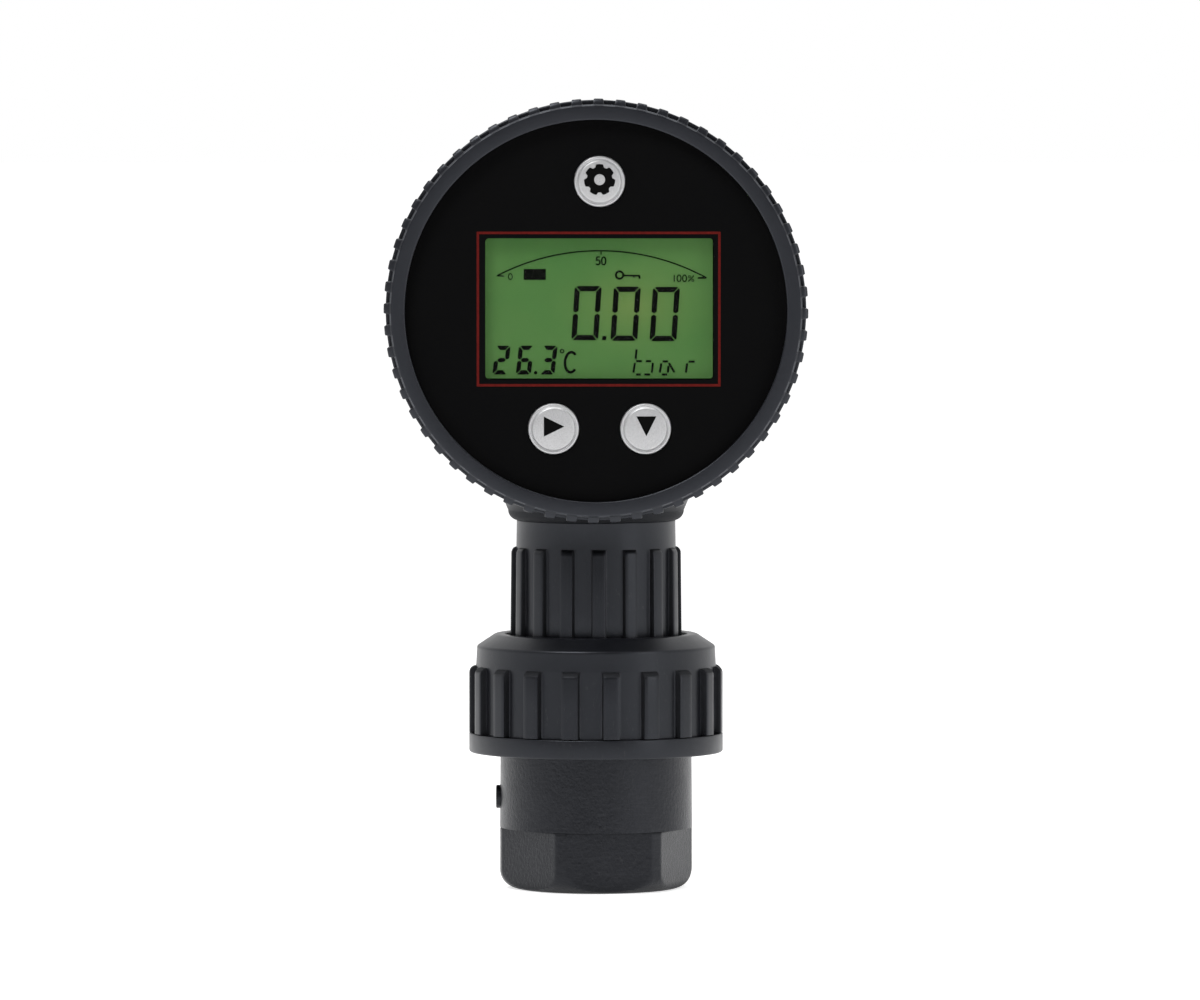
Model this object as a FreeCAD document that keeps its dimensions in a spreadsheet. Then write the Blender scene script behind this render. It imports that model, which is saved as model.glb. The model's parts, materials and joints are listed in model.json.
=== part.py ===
import FreeCAD, Part
import os
import re
from math import atan2, sqrt

import Sketcher
from FreeCAD import Placement, Rotation, Vector

# Round display head on a plastic true union.
# Origin: centre of the flat bottom of the hexagon end. +Z runs up the union's axis,
# the display looks along -Y. Sizes are millimetres and degrees.

SIZES = {
    # union body: hexagon, barrel, union thread
    "hex_flats": 36.0,
    "hex_height": 12.75,
    "hex_turn": 8.7,
    "corner_rounding": 4.0,
    "barrel_foot_radius": 20.1,
    "corner_stand": 0.05,
    "barrel_draft": 0.15,
    "socket_radius": 12.06,
    "socket_depth": 16.5,
    "passage_radius": 10.0,
    "seat_height": 41.5,
    "union_thread_stand": 0.35,
    "union_thread_length": 9.6,
    "union_thread_gap": 0.55,
    "nub_height": 19.0,
    "nub_radius": 2.45,
    "nub_stand": 0.8,
    # seals
    "union_seal_radius": 15.0,
    "union_seal_section": 3.0,
    "neck_seal_radius": 13.3,
    "neck_seal_section": 2.0,
    "sensor_seal_section": 1.8,
    "seal_room": 0.2,
    # union nut
    "nut_reach": 13.0,
    "nut_band": 4.0,
    "nut_wall": 4.05,
    "nut_rib_height": 1.45,
    "nut_rib_width": 3.46,
    "nut_rib_length": 14.0,
    "nut_rib_count": 19,
    "nut_rib_turn": -82.95,
    "nut_shoulder": 4.1,
    "nut_cone_height": 2.6,
    "nut_cone_top_radius": 21.0,
    "nut_hole_gap": 1.05,
    "nut_entry": 3.0,
    "nut_entry_relief": 0.6,
    # union end: collar, ribbed shank, neck
    "collar_height": 4.5,
    "collar_gap": 0.6,
    "thrust_ring_thickness": 1.0,
    "thrust_ring_gap": 0.4,
    "neck_radius": 16.65,
    "neck_length": 35.4,
    "neck_plain": 5.6,
    "shank_rib_height": 1.3,
    "shank_rib_width": 2.8,
    "shank_rib_draft": 0.25,
    "shank_rib_count": 16,
    "shank_rib_turn": -88.0,
    "inlet_radius": 7.0,
    "inlet_depth": 7.5,
    # sensor and stem
    "sensor_radius": 9.0,
    "sensor_height": 6.35,
    "sensor_clearance": 0.2,
    "retainer_height": 4.0,
    "retainer_hole_radius": 5.5,
    "stem_radius": 9.95,
    "stem_bore_radius": 6.0,
    "stem_gap": 2.75,
    "stem_stand": 8.0,
    "thread_clearance": 0.05,
    "locknut_flats": 26.0,
    "locknut_height": 5.0,
    "lead_radius": 1.2,
    # housing
    "boss_stand": 2.6,
    "boss_step": 1.7,
    "boss_edge": 2.1,
    "boss_flare": 1.5,
    "boss_flare_height": 3.5,
    "spotface_depth": 0.5,
    "spotface_radius": 15.6,
    "barrel_inset": 0.9,
    "housing_wall": 3.0,
    "housing_rear": 20.0,
    "rear_rounding": 4.0,
    "shoulder_gap": 0.4,
    # bezel ring
    "bezel_front": 30.0,
    "bezel_depth": 11.0,
    "bezel_wall": 1.9,
    "bezel_rounding": 0.8,
    "bezel_flange": 2.0,
    "bezel_flange_step": 0.25,
    "lip_thickness": 2.0,
    "lip_overlap": 1.0,
    "opening_radius": 39.2,
    "tooth_height": 1.2,
    "tooth_width": 1.9,
    "tooth_rounding": 0.45,
    "tooth_setback": 0.9,
    "tooth_count": 60,
    "tooth_turn": 5.3,
    "slip_ring_thickness": 0.5,
    "rim_step": 0.25,
    # face panel, window and display
    "panel_thickness": 2.5,
    "face_gasket_thickness": 1.0,
    "face_shift": 0.75,
    "window_lift": 0.4,
    "window_width": 47.0,
    "window_height": 29.0,
    "window_rounding": 0.8,
    "window_clearance": 0.1,
    "window_recess": 0.2,
    "rebate_margin": 1.5,
    "rebate_depth": 1.0,
    "glass_thickness": 2.8,
    "glass_margin": 1.0,
    "backlight_thickness": 3.0,
    "lcd_frame_wall": 1.4,
    # buttons and their switches
    "button_radius": 5.2,
    "button_stand": 1.0,
    "button_bevel": 0.9,
    "button_bevel_drop": 0.55,
    "button_clearance": 0.15,
    "button_collar": 1.0,
    "button_collar_thickness": 0.8,
    "button_foot_radius": 2.5,
    "set_button_lift": 26.6,
    "arrow_button_drop": 24.2,
    "arrow_button_spread": 9.45,
    "switch_side": 6.0,
    "switch_height": 3.5,
    "switch_floor": 0.8,
    "plunger_radius": 1.7,
    "plunger_stand": 0.9,
    "press_room": 0.8,
    # boards
    "board_thickness": 1.6,
    "display_board_gap": 2.0,
    "main_board_gap": 3.5,
    "main_board_depth": 2.0,
    "main_board_foot_gap": 1.0,
    "pillar_inset": 3.04,
    "pillar_flats": 5.5,
    "screw_radius": 1.5,
    "screw_head_radius": 2.6,
    "screw_head_height": 2.0,
    "screw_length": 6.0,
    "screw_hole_gap": 0.1,
    "post_radius": 3.3,
    "link_width": 26.0,
    "link_depth": 5.0,
    "link_inset": 13.0,
    "terminal_width": 24.0,
    "terminal_depth": 10.0,
    "terminal_height": 10.0,
    "terminal_lift": 8.0,
    "terminal_pitch": 7.5,
    "header_width": 10.0,
    "header_height": 6.0,
    "header_drop": 20.0,
    "header_reach": 4.0,
    # cable gland
    "gland_drop": 20.0,
    "gland_thread_radius": 8.0,
    "gland_bore_radius": 4.6,
    "gland_flats": 22.0,
    "gland_hex_height": 5.0,
    "gland_gasket_thickness": 1.5,
    "gland_gasket_width": 2.8,
    "gland_neck": 8.0,
    "gland_inner_length": 8.0,
    "gland_locknut_height": 4.0,
    "gland_seal_radius": 6.0,
    "gland_seal_bore": 3.5,
    "gland_seal_length": 9.2,
    "gland_seal_clearance": 0.2,
    "gland_seat_depth": 6.5,
    "gland_nut_gap": 0.5,
    "gland_nut_hex": 7.0,
    "gland_dome_height": 6.0,
    "gland_dome_radius": 7.0,
    "gland_mouth_radius": 4.5,
    # how far a cutting shape runs past the surface that it opens
    "overrun": 1.0,
}

# Sizes and places that follow from the ones above.
DERIVED = {
    # union, heights above the foot
    "corner_radius": "barrel_foot_radius + corner_stand",
    "union_thread_radius": "barrel_foot_radius + union_thread_stand",
    "union_thread_foot": "seat_height - union_thread_length",
    "nut_bore_radius": "union_thread_radius + union_thread_gap",
    "nut_floor_radius": "nut_bore_radius + nut_wall",
    "nut_rib_radius": "nut_floor_radius + nut_rib_height",
    "nut_bottom": "seat_height - nut_reach",
    "nut_rib_foot": "nut_bottom + nut_band",
    "nut_rib_top": "nut_rib_foot + nut_rib_length",
    "nut_cone_foot": "nut_rib_top + nut_shoulder",
    "nut_top": "nut_cone_foot + nut_cone_height",
    "collar_top": "seat_height + collar_height",
    "nut_ledge": "collar_top + thrust_ring_thickness",
    "collar_radius": "nut_bore_radius - collar_gap",
    "shank_rib_radius": "neck_radius + shank_rib_height",
    "neck_top": "seat_height + neck_length",
    "shank_rib_top": "neck_top - neck_plain",
    "nut_hole_radius": "shank_rib_radius + nut_hole_gap",
    "sensor_seat": "seat_height + inlet_depth",
    "sensor_bore_radius": "sensor_radius + sensor_clearance",
    "sensor_foot": "sensor_seat + sensor_seal_section",
    "sensor_top": "sensor_foot + sensor_height",
    "stem_foot": "sensor_top + retainer_height + stem_gap",
    "boss_floor_height": "head_height - floor_drop",
    "stem_top": "boss_floor_height + stem_stand",
    # head, measured forward from the union's axis
    "head_height": "neck_top + boss_drop",
    "panel_radius": "opening_radius + lip_overlap",
    "rim_radius": "panel_radius + rim_step",
    "bezel_bore_radius": "rim_radius + thread_clearance",
    "bezel_radius": "bezel_bore_radius + bezel_wall",
    "tooth_radius": "bezel_radius + tooth_height",
    "flange_radius": "tooth_radius - bezel_flange_step",
    "bezel_back": "bezel_front - bezel_depth",
    "lip_back": "bezel_front - lip_thickness",
    "panel_front": "lip_back - slip_ring_thickness",
    "panel_back": "panel_front - panel_thickness",
    "rim_front": "panel_back - face_gasket_thickness",
    "shoulder": "bezel_back - shoulder_gap",
    "barrel_radius": "bezel_radius - barrel_inset",
    "cavity_radius": "barrel_radius - housing_wall",
    "cavity_back": "housing_wall - housing_rear",
    "boss_radius": "neck_radius + boss_step",
    "boss_drop": "barrel_radius + boss_stand",
    "floor_drop": "cavity_radius + spotface_depth",
    "glass_back": "panel_back - glass_thickness",
    "board_front": "glass_back - backlight_thickness",
    "board_back": "board_front - board_thickness",
    "display_board_radius": "cavity_radius - display_board_gap",
    "main_board_radius": "cavity_radius - main_board_gap",
    "main_board_foot": "stem_stand + main_board_foot_gap - floor_drop",
    "pillar_place": "(main_board_radius - pillar_inset) * sqrt(0.5)",
    "link_lift": "main_board_radius - link_inset",
    "main_front": "0 - main_board_depth",
    "main_back": "main_front - board_thickness",
    "glass_width": "window_width + 2 * glass_margin",
    "glass_height": "window_height + 2 * glass_margin",
    "switch_front": "board_front + switch_height",
    "plunger_front": "switch_front + plunger_stand",
    # gland, measured backward from the housing's rear face
    "gland_hex_foot": "gland_gasket_thickness",
    "gland_hex_top": "gland_hex_foot + gland_hex_height",
    "gland_body_top": "gland_hex_top + gland_neck",
    "gland_seat": "gland_body_top - gland_seat_depth",
    "gland_seal_top": "gland_seat + gland_seal_length",
    "gland_nut_foot": "gland_hex_top + gland_nut_gap",
    "gland_dome_foot": "gland_nut_foot + gland_nut_hex",
    "gland_nut_top": "gland_dome_foot + gland_dome_height",
    "gland_height": "head_height - gland_drop",
}

SCREW_PLACES = 4
HEAD_FRAME = Rotation(Vector(1, 0, 0), 90)
GLAND_FRAME = Rotation(Vector(1, 0, 0), -90)

doc = FreeCAD.newDocument("pressure_transmitter")
sheet = doc.addObject("Spreadsheet::Sheet", "Sizes")
for row, (alias, size) in enumerate(SIZES.items(), 1):
    sheet.set(f"A{row}", alias)
    sheet.set(f"B{row}", str(size))
    sheet.setAlias(f"B{row}", alias)
doc.recompute()

parts = []


def formula(text):
    """Turn a formula of named sizes into one that reads the sheet."""
    def swap(match):
        word = match.group(0)
        if word in DERIVED:
            return "(" + formula(DERIVED[word]) + ")"
        return "Sizes." + word if word in SIZES else word
    return re.sub(r"[a-z_]+", swap, str(text))


def number(text):
    """The present value of a formula of named sizes."""
    return float(sheet.evalExpression(formula(text)))


def point(step):
    return Vector(number(step[0]), number(step[1]), 0)


def fix_point(sketch, geometry, position, place):
    """Hold a sketch point at its distances from the sketch's origin."""
    for kind, text in zip(("DistanceX", "DistanceY"), place):
        index = sketch.addConstraint(Sketcher.Constraint(kind, -1, 1, geometry, position, number(text)))
        sketch.setExpression(f"Constraints[{index}]", formula(text))


def fix_radius(sketch, geometry, text):
    index = sketch.addConstraint(Sketcher.Constraint("Radius", geometry, number(text)))
    sketch.setExpression(f"Constraints[{index}]", formula(text))


def arc_between(start, end, radius, turn):
    """The short arc from start to end; turn is 1 with its centre on the left, -1 on the right."""
    chord = end - start
    side = Vector(-chord.y, chord.x, 0).normalize() * turn
    centre = (start + end) * 0.5 + side * sqrt(max(radius ** 2 - chord.Length ** 2 / 4, 0))
    first, last = (start, end) if turn > 0 else (end, start)
    angles = [atan2(p.y - centre.y, p.x - centre.x) for p in (first, last)]
    return Part.ArcOfCircle(Part.Circle(centre, Vector(0, 0, 1), radius), *angles)


def draw(sketch, steps):
    """Draw a closed outline.

    A step (x, y) is where the next straight line starts. A step (x, y, radius, turn)
    starts an arc instead.
    """
    first = sketch.GeometryCount
    ends = []
    for step, following in zip(steps, steps[1:] + steps[:1]):
        start, end = point(step), point(following)
        if len(step) == 2:
            sketch.addGeometry(Part.LineSegment(start, end), False)
            ends.append((1, 2))
        else:
            sketch.addGeometry(arc_between(start, end, number(step[2]), step[3]), False)
            ends.append((1, 2) if step[3] > 0 else (2, 1))
    for i, step in enumerate(steps):
        j = (i + 1) % len(steps)
        meeting = (first + i, ends[i][1], first + j, ends[j][0])
        sketch.addConstraint(Sketcher.Constraint("Coincident", *meeting))
        fix_point(sketch, first + i, ends[i][0], step[:2])
        if len(step) > 2:
            fix_radius(sketch, first + i, step[2])


def draw_circle(sketch, place, radius):
    index = sketch.addGeometry(Part.Circle(point(place), Vector(0, 0, 1), number(radius)), False)
    fix_point(sketch, index, 3, place)
    fix_radius(sketch, index, radius)


def hexagon(flats, turn="0"):
    """The corners of a hexagon with the given width across flats."""
    corner = f"({flats}) / sqrt(3)"
    return [(f"{corner} * cos({60 * k} + {turn})", f"{corner} * sin({60 * k} + {turn})") for k in range(6)]


def rounded_box(centre, width, height, rounding):
    """A rectangle with rounded corners, drawn counter-clockwise."""
    x, y = centre
    left, right = f"{x} - ({width}) / 2", f"{x} + ({width}) / 2"
    low, top = f"{y} - ({height}) / 2", f"{y} + ({height}) / 2"
    return [
        (f"{left} + {rounding}", low),
        (f"{right} - {rounding}", low, rounding, 1),
        (right, f"{low} + {rounding}"),
        (right, f"{top} - {rounding}", rounding, 1),
        (f"{right} - {rounding}", top),
        (f"{left} + {rounding}", top, rounding, 1),
        (left, f"{top} - {rounding}"),
        (left, f"{low} + {rounding}", rounding, 1),
    ]


def box(centre, width, height):
    x, y = centre
    left, right = f"{x} - ({width}) / 2", f"{x} + ({width}) / 2"
    low, top = f"{y} - ({height}) / 2", f"{y} + ({height}) / 2"
    return [(left, low), (right, low), (right, top), (left, top)]


def place(item, x="0", y="0", z="0", rotation=None):
    """Put a piece in the part's frame."""
    item.Placement = Placement(Vector(number(x), number(y), number(z)), rotation or Rotation())
    for axis, text in zip("xyz", (x, y, z)):
        item.setExpression(f"Placement.Base.{axis}", formula(text))


def new_body(label):
    body = doc.addObject("PartDesign::Body", label + "_body")
    body.Label = label
    parts.append(body)
    return body


def in_head(body, right="0", up="0"):
    """Place a body whose own Z points forward out of the display."""
    place(body, right, "0", f"head_height + {up}", HEAD_FRAME)
    return body


def in_gland(body):
    """Place a body whose own Z points out of the cable gland."""
    place(body, "0", "housing_rear", "gland_height", GLAND_FRAME)
    return body


def origin_part(body, role):
    return next(item for item in body.Origin.OriginFeatures if item.Role == role)


def new_sketch(body, name, plane="XY_Plane", lift="0"):
    sketch = body.newObject("Sketcher::SketchObject", name)
    sketch.AttachmentSupport = [(origin_part(body, plane), "")]
    sketch.MapMode = "FlatFace"
    sketch.setExpression("AttachmentOffset.Base.z", formula(lift))
    return sketch


def finished(body, feature, sign):
    """Recompute, and make sure that the feature added to the body or cut it."""
    before = getattr(body, "volume_so_far", 0)
    doc.recompute()
    volume = feature.Shape.Volume
    if (volume - before) * sign <= 0:
        raise RuntimeError(f"{feature.Label} changes nothing")
    if not hasattr(body, "volume_so_far"):
        body.addProperty("App::PropertyFloat", "volume_so_far")
    body.volume_so_far = volume
    return feature


def turn(body, name, steps, plane="XZ_Plane", cut=False):
    """Revolve an outline about the sketch's upright axis."""
    sketch = new_sketch(body, name + "_outline", plane)
    draw(sketch, steps)
    feature = body.newObject("PartDesign::Groove" if cut else "PartDesign::Revolution", name)
    feature.Profile = sketch
    feature.ReferenceAxis = (sketch, ["V_Axis"])
    feature.Angle = 360
    return finished(body, feature, -1 if cut else 1)


def extrude(body, name, shapes, start, length, cut=False, plane="XY_Plane", backward=False):
    """Pad or pocket outlines and circles, from a start level along the sketch's normal."""
    sketch = new_sketch(body, name + "_outline", plane, start)
    for shape in shapes:
        if isinstance(shape, dict):
            draw_circle(sketch, shape["centre"], shape["radius"])
        else:
            draw(sketch, shape)
    feature = body.newObject("PartDesign::Pocket" if cut else "PartDesign::Pad", name)
    feature.Profile = sketch
    feature.setExpression("Length", formula(length))
    feature.Reversed = cut != backward
    return finished(body, feature, -1 if cut else 1)


def circle(radius, x="0", y="0"):
    return {"centre": (x, y), "radius": radius}


def repeat(body, feature, count, sign=1):
    """Repeat a feature around the body's own Z axis."""
    pattern = body.newObject("PartDesign::PolarPattern", feature.Name + "_pattern")
    pattern.Originals = [feature]
    pattern.Axis = (origin_part(body, "Z_Axis"), [""])
    pattern.Angle = 360
    pattern.setExpression("Occurrences", formula(count))
    body.Tip = pattern
    return finished(body, pattern, sign)


def ring(label, inner, outer, foot, top):
    """A plain turned ring."""
    body = new_body(label)
    turn(body, label + "_turning", [(inner, foot), (outer, foot), (outer, top), (inner, top)])
    return body


def seal(label, radius, section, foot):
    """An O-ring that lies on a face at the given height."""
    torus = doc.addObject("Part::Torus", label + "_torus")
    torus.Label = label
    torus.setExpression("Radius1", formula(radius))
    torus.setExpression("Radius2", formula(f"({section}) / 2"))
    place(torus, z=f"{foot} + ({section}) / 2")
    parts.append(torus)


def rib(inner, outer, width):
    """The section of one rib that stands out along +X under a round outer face."""
    edge = f"sqrt(({outer}) ^ 2 - ({width}) ^ 2 / 4)"
    low, top = f"0 - ({width}) / 2", f"({width}) / 2"
    return [(inner, low), (edge, low, outer, 1), (edge, top), (inner, top)]


def rib_trim(floor, foot, outer, draft, rib_height, top):
    """What is turned off a ring of ribs: the draft along them and the round at their top ends."""
    past = f"({outer}) + overrun"
    return [
        (floor, top),
        (floor, f"{top} + overrun"),
        (past, f"{top} + overrun"),
        (past, foot),
        (outer, foot),
        (f"({outer}) - ({draft})", f"{top} - ({rib_height}) + ({draft})",
         f"({rib_height}) - ({draft})", 1),
    ]


def union_body():
    """Hexagon end with the threaded socket, barrel, and union thread with its seal groove."""
    body = new_body("union_body")
    turn(body, "barrel", [
        ("0", "hex_height"),
        ("barrel_foot_radius", "hex_height"),
        ("barrel_foot_radius - barrel_draft", "union_thread_foot"),
        ("union_thread_radius", "union_thread_foot"),
        ("union_thread_radius", "seat_height"),
        ("0", "seat_height"),
    ])
    extrude(body, "hexagon_end", [hexagon("hex_flats", "hex_turn")], "0", "hex_height")
    extrude(body, "gate_nub", [circle("nub_radius", "0", "nub_height")], "0",
            "barrel_foot_radius + nub_stand", plane="YZ_Plane", backward=True)
    past_corners = "hex_flats / sqrt(3) + corner_radius"
    turn(body, "turned_corners", [
        ("corner_radius - corner_rounding", "0", "corner_rounding", 1),
        ("corner_radius", "corner_rounding"),
        ("corner_radius", "hex_height"),
        (past_corners, "hex_height"),
        (past_corners, "0 - overrun"),
        ("corner_radius - corner_rounding", "0 - overrun"),
    ], cut=True)
    turn(body, "socket_and_passage", [
        ("0", "0 - overrun"),
        ("socket_radius", "0 - overrun"),
        ("socket_radius", "socket_depth"),
        ("passage_radius", "socket_depth"),
        ("passage_radius", "seat_height + overrun"),
        ("0", "seat_height + overrun"),
    ], cut=True)
    seal_groove(body, "union_seal_radius", "union_seal_section", "seat_height")


def seal_groove(body, radius, section, face):
    """A groove in a top face for an O-ring."""
    half = f"({section}) / 2 + seal_room"
    floor = f"{face} - ({section}) - seal_room"
    turn(body, "seal_groove", [
        (f"{radius} - ({half})", floor),
        (f"{radius} + ({half})", floor),
        (f"{radius} + ({half})", f"{face} + overrun"),
        (f"{radius} - ({half})", f"{face} + overrun"),
    ], cut=True)


def union_nut():
    """Ribbed nut: a plain band at the foot, raised ribs, a shoulder and a conical top."""
    body = new_body("union_nut")
    entry = "nut_bore_radius + nut_entry_relief"
    turn(body, "nut_shell", [
        (entry, "nut_bottom"),
        ("nut_rib_radius", "nut_bottom"),
        ("nut_rib_radius", "nut_rib_foot"),
        ("nut_floor_radius", "nut_rib_foot"),
        ("nut_floor_radius", "nut_cone_foot"),
        ("nut_cone_top_radius", "nut_top"),
        ("nut_hole_radius", "nut_top"),
        ("nut_hole_radius", "nut_ledge"),
        ("nut_bore_radius", "nut_ledge"),
        ("nut_bore_radius", "nut_bottom + nut_entry"),
        (entry, "nut_bottom + nut_entry"),
    ])
    outline = rib("nut_floor_radius - nut_rib_height", "nut_rib_radius", "nut_rib_width")
    one = extrude(body, "nut_rib", [outline], "nut_rib_foot", "nut_rib_length")
    repeat(body, one, "nut_rib_count")
    turn(body, "nut_rib_ends", [
        ("nut_floor_radius", "nut_rib_top"),
        ("nut_floor_radius", "nut_rib_top + overrun"),
        ("nut_rib_radius + overrun", "nut_rib_top + overrun"),
        ("nut_rib_radius + overrun", "nut_rib_top - nut_rib_height"),
        ("nut_rib_radius", "nut_rib_top - nut_rib_height", "nut_rib_height", 1),
    ], cut=True)
    place(body, rotation=Rotation(Vector(0, 0, 1), number("nut_rib_turn")))


def union_end():
    """Collar under the nut, ribbed shank, plain neck, and the bores for sensor and stem."""
    body = new_body("union_end")
    turn(body, "neck", [
        ("0", "seat_height"),
        ("collar_radius", "seat_height"),
        ("collar_radius", "collar_top"),
        ("neck_radius", "collar_top"),
        ("neck_radius", "neck_top"),
        ("0", "neck_top"),
    ])
    outline = rib("neck_radius - shank_rib_height", "shank_rib_radius", "shank_rib_width")
    one = extrude(body, "shank_rib", [outline], "collar_top", "shank_rib_top - collar_top")
    repeat(body, one, "shank_rib_count")
    ends = rib_trim("neck_radius", "collar_top", "shank_rib_radius", "shank_rib_draft",
                    "shank_rib_height", "shank_rib_top")
    turn(body, "shank_rib_ends", ends, cut=True)
    thread = "stem_radius + thread_clearance"
    turn(body, "bores", [
        ("0", "seat_height - overrun"),
        ("inlet_radius", "seat_height - overrun"),
        ("inlet_radius", "sensor_seat"),
        ("sensor_bore_radius", "sensor_seat"),
        ("sensor_bore_radius", "sensor_top"),
        (thread, "sensor_top"),
        (thread, "neck_top + overrun"),
        ("0", "neck_top + overrun"),
    ], cut=True)
    seal_groove(body, "neck_seal_radius", "neck_seal_section", "neck_top")
    place(body, rotation=Rotation(Vector(0, 0, 1), number("shank_rib_turn")))


def sensor_and_stem():
    """Ceramic cell with its seal and retainer, the hollow stem with its locknut, and the lead."""
    seal("union_o_ring", "union_seal_radius", "union_seal_section",
         "seat_height - union_seal_section - seal_room")
    seal("neck_o_ring", "neck_seal_radius", "neck_seal_section",
         "neck_top - neck_seal_section - seal_room")
    seal("sensor_o_ring", "sensor_radius - sensor_seal_section / 2", "sensor_seal_section", "sensor_seat")
    ring("sensor_retainer", "retainer_hole_radius", "stem_radius",
         "sensor_top", "sensor_top + retainer_height")
    ring("stem", "stem_bore_radius", "stem_radius", "stem_foot", "stem_top")

    cell = doc.addObject("Part::Cylinder", "sensor_cell_disc")
    cell.Label = "sensor_cell"
    cell.setExpression("Radius", formula("sensor_radius"))
    cell.setExpression("Height", formula("sensor_height"))
    place(cell, z="sensor_foot")
    parts.append(cell)

    lead = doc.addObject("Part::Cylinder", "sensor_lead_run")
    lead.Label = "sensor_lead"
    lead.setExpression("Radius", formula("lead_radius"))
    lead.setExpression("Height", formula("head_height - header_drop - header_height / 2 - sensor_top"))
    place(lead, z="sensor_top")
    parts.append(lead)

    locknut = new_body("stem_locknut")
    thread = circle("stem_radius + thread_clearance")
    extrude(locknut, "locknut_hexagon", [hexagon("locknut_flats"), thread],
            "boss_floor_height", "locknut_height")


def housing_shell():
    """Round pot with its boss, the rim that carries the bezel ring, and the board posts."""
    body = in_head(new_body("housing_shell"))
    rear = "0 - housing_rear"
    turn(body, "pot", [
        ("0", rear),
        ("barrel_radius - rear_rounding", rear, "rear_rounding", 1),
        ("barrel_radius", "rear_rounding - housing_rear"),
        ("barrel_radius", "shoulder"),
        ("rim_radius", "shoulder"),
        ("rim_radius", "rim_front"),
        ("0", "rim_front"),
    ])
    turn(body, "boss", [
        ("0", "0 - boss_drop"),
        ("neck_radius", "0 - boss_drop", "(boss_step ^ 2 + boss_edge ^ 2) / (2 * boss_step)", 1),
        ("boss_radius", "boss_edge - boss_drop"),
        ("boss_radius + boss_flare", "boss_edge + boss_flare_height - boss_drop"),
        ("boss_radius + boss_flare", "0 - cavity_radius / 2"),
        ("0", "0 - cavity_radius / 2"),
    ], plane="XY_Plane")
    turn(body, "cavity", [
        ("0", "cavity_back"),
        ("cavity_radius", "cavity_back"),
        ("cavity_radius", "rim_front + overrun"),
        ("0", "rim_front + overrun"),
    ], cut=True)
    stem_hole = "stem_radius + thread_clearance"
    turn(body, "stem_hole", [
        ("0", "0 - boss_drop - overrun"),
        (stem_hole, "0 - boss_drop - overrun"),
        (stem_hole, "0 - floor_drop"),
        ("spotface_radius", "0 - floor_drop"),
        ("spotface_radius", "0 - cavity_radius * 0.8"),
        ("0", "0 - cavity_radius * 0.8"),
    ], plane="XY_Plane", cut=True)
    extrude(body, "gland_hole", [circle("gland_thread_radius + thread_clearance", "0", "0 - gland_drop")],
            "0 - housing_rear - overrun", "housing_wall + 2 * overrun", cut=True)
    post = extrude(body, "board_post", [circle("post_radius", "pillar_place", "pillar_place")],
                   "cavity_back - overrun", "main_back - cavity_back + overrun")
    repeat(body, post, str(SCREW_PLACES))
    pilot = extrude(body, "pilot_hole", [circle("screw_radius", "pillar_place", "pillar_place")],
                    "main_back - screw_length", "screw_length + overrun", cut=True)
    repeat(body, pilot, str(SCREW_PLACES), -1)


def bezel_ring():
    """Screw ring: smooth front, inward lip, a ring of knurl teeth closed by a flange behind."""
    body = in_head(new_body("bezel_ring"))
    turn(body, "bezel_shell", [
        ("bezel_bore_radius", "bezel_back"),
        ("flange_radius - tooth_rounding", "bezel_back", "tooth_rounding", 1),
        ("flange_radius", "bezel_back + tooth_rounding"),
        ("flange_radius", "bezel_back + bezel_flange"),
        ("bezel_radius", "bezel_back + bezel_flange"),
        ("bezel_radius", "bezel_front - bezel_rounding", "bezel_rounding", 1),
        ("bezel_radius - bezel_rounding", "bezel_front"),
        ("opening_radius", "bezel_front"),
        ("opening_radius", "lip_back"),
        ("bezel_bore_radius", "lip_back"),
    ])
    half = "tooth_width / 2"
    tooth = extrude(body, "tooth", [[
        ("bezel_radius - bezel_wall / 2", f"0 - {half}"),
        ("tooth_radius - tooth_rounding", f"0 - {half}", "tooth_rounding", 1),
        ("tooth_radius", f"tooth_rounding - {half}"),
        ("tooth_radius", f"{half} - tooth_rounding", "tooth_rounding", 1),
        ("tooth_radius - tooth_rounding", half),
        ("bezel_radius - bezel_wall / 2", half),
    ]], "bezel_back + bezel_flange / 2", "bezel_depth - bezel_flange / 2 - tooth_setback")
    repeat(body, tooth, "tooth_count")
    turn(body, "tooth_front_ends", [
        ("bezel_radius", "bezel_front"),
        ("bezel_radius", "bezel_front - tooth_setback"),
        ("tooth_radius", "bezel_front - tooth_setback - tooth_height"),
        ("tooth_radius + overrun", "bezel_front - tooth_setback - tooth_height"),
        ("tooth_radius + overrun", "bezel_front"),
    ], cut=True)
    body.Placement.Rotation = HEAD_FRAME * Rotation(Vector(0, 0, 1), number("tooth_turn"))


def face_panel():
    """Black panel with the window's opening and its rebate, and the three button holes."""
    body = in_head(new_body("face_panel"))
    extrude(body, "panel_disc", [circle("panel_radius")], "panel_back", "panel_thickness")
    middle = ("face_shift", "window_lift")
    opening = rounded_box(middle, "window_width", "window_height", "window_rounding")
    extrude(body, "window_opening", [opening],
            "panel_back - overrun", "panel_thickness + 2 * overrun", cut=True)
    rebate = rounded_box(middle, "window_width + 2 * rebate_margin", "window_height + 2 * rebate_margin",
                         "window_rounding")
    extrude(body, "window_rebate", [rebate], "panel_back - overrun", "rebate_depth + overrun", cut=True)
    holes = [circle("button_radius + button_clearance", *at) for at in BUTTONS.values()]
    extrude(body, "button_holes", holes, "panel_back - overrun", "panel_thickness + 2 * overrun", cut=True)


BUTTONS = {
    "set": ("face_shift", "set_button_lift"),
    "right": ("face_shift - arrow_button_spread", "0 - arrow_button_drop"),
    "down": ("face_shift + arrow_button_spread", "0 - arrow_button_drop"),
}


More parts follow.
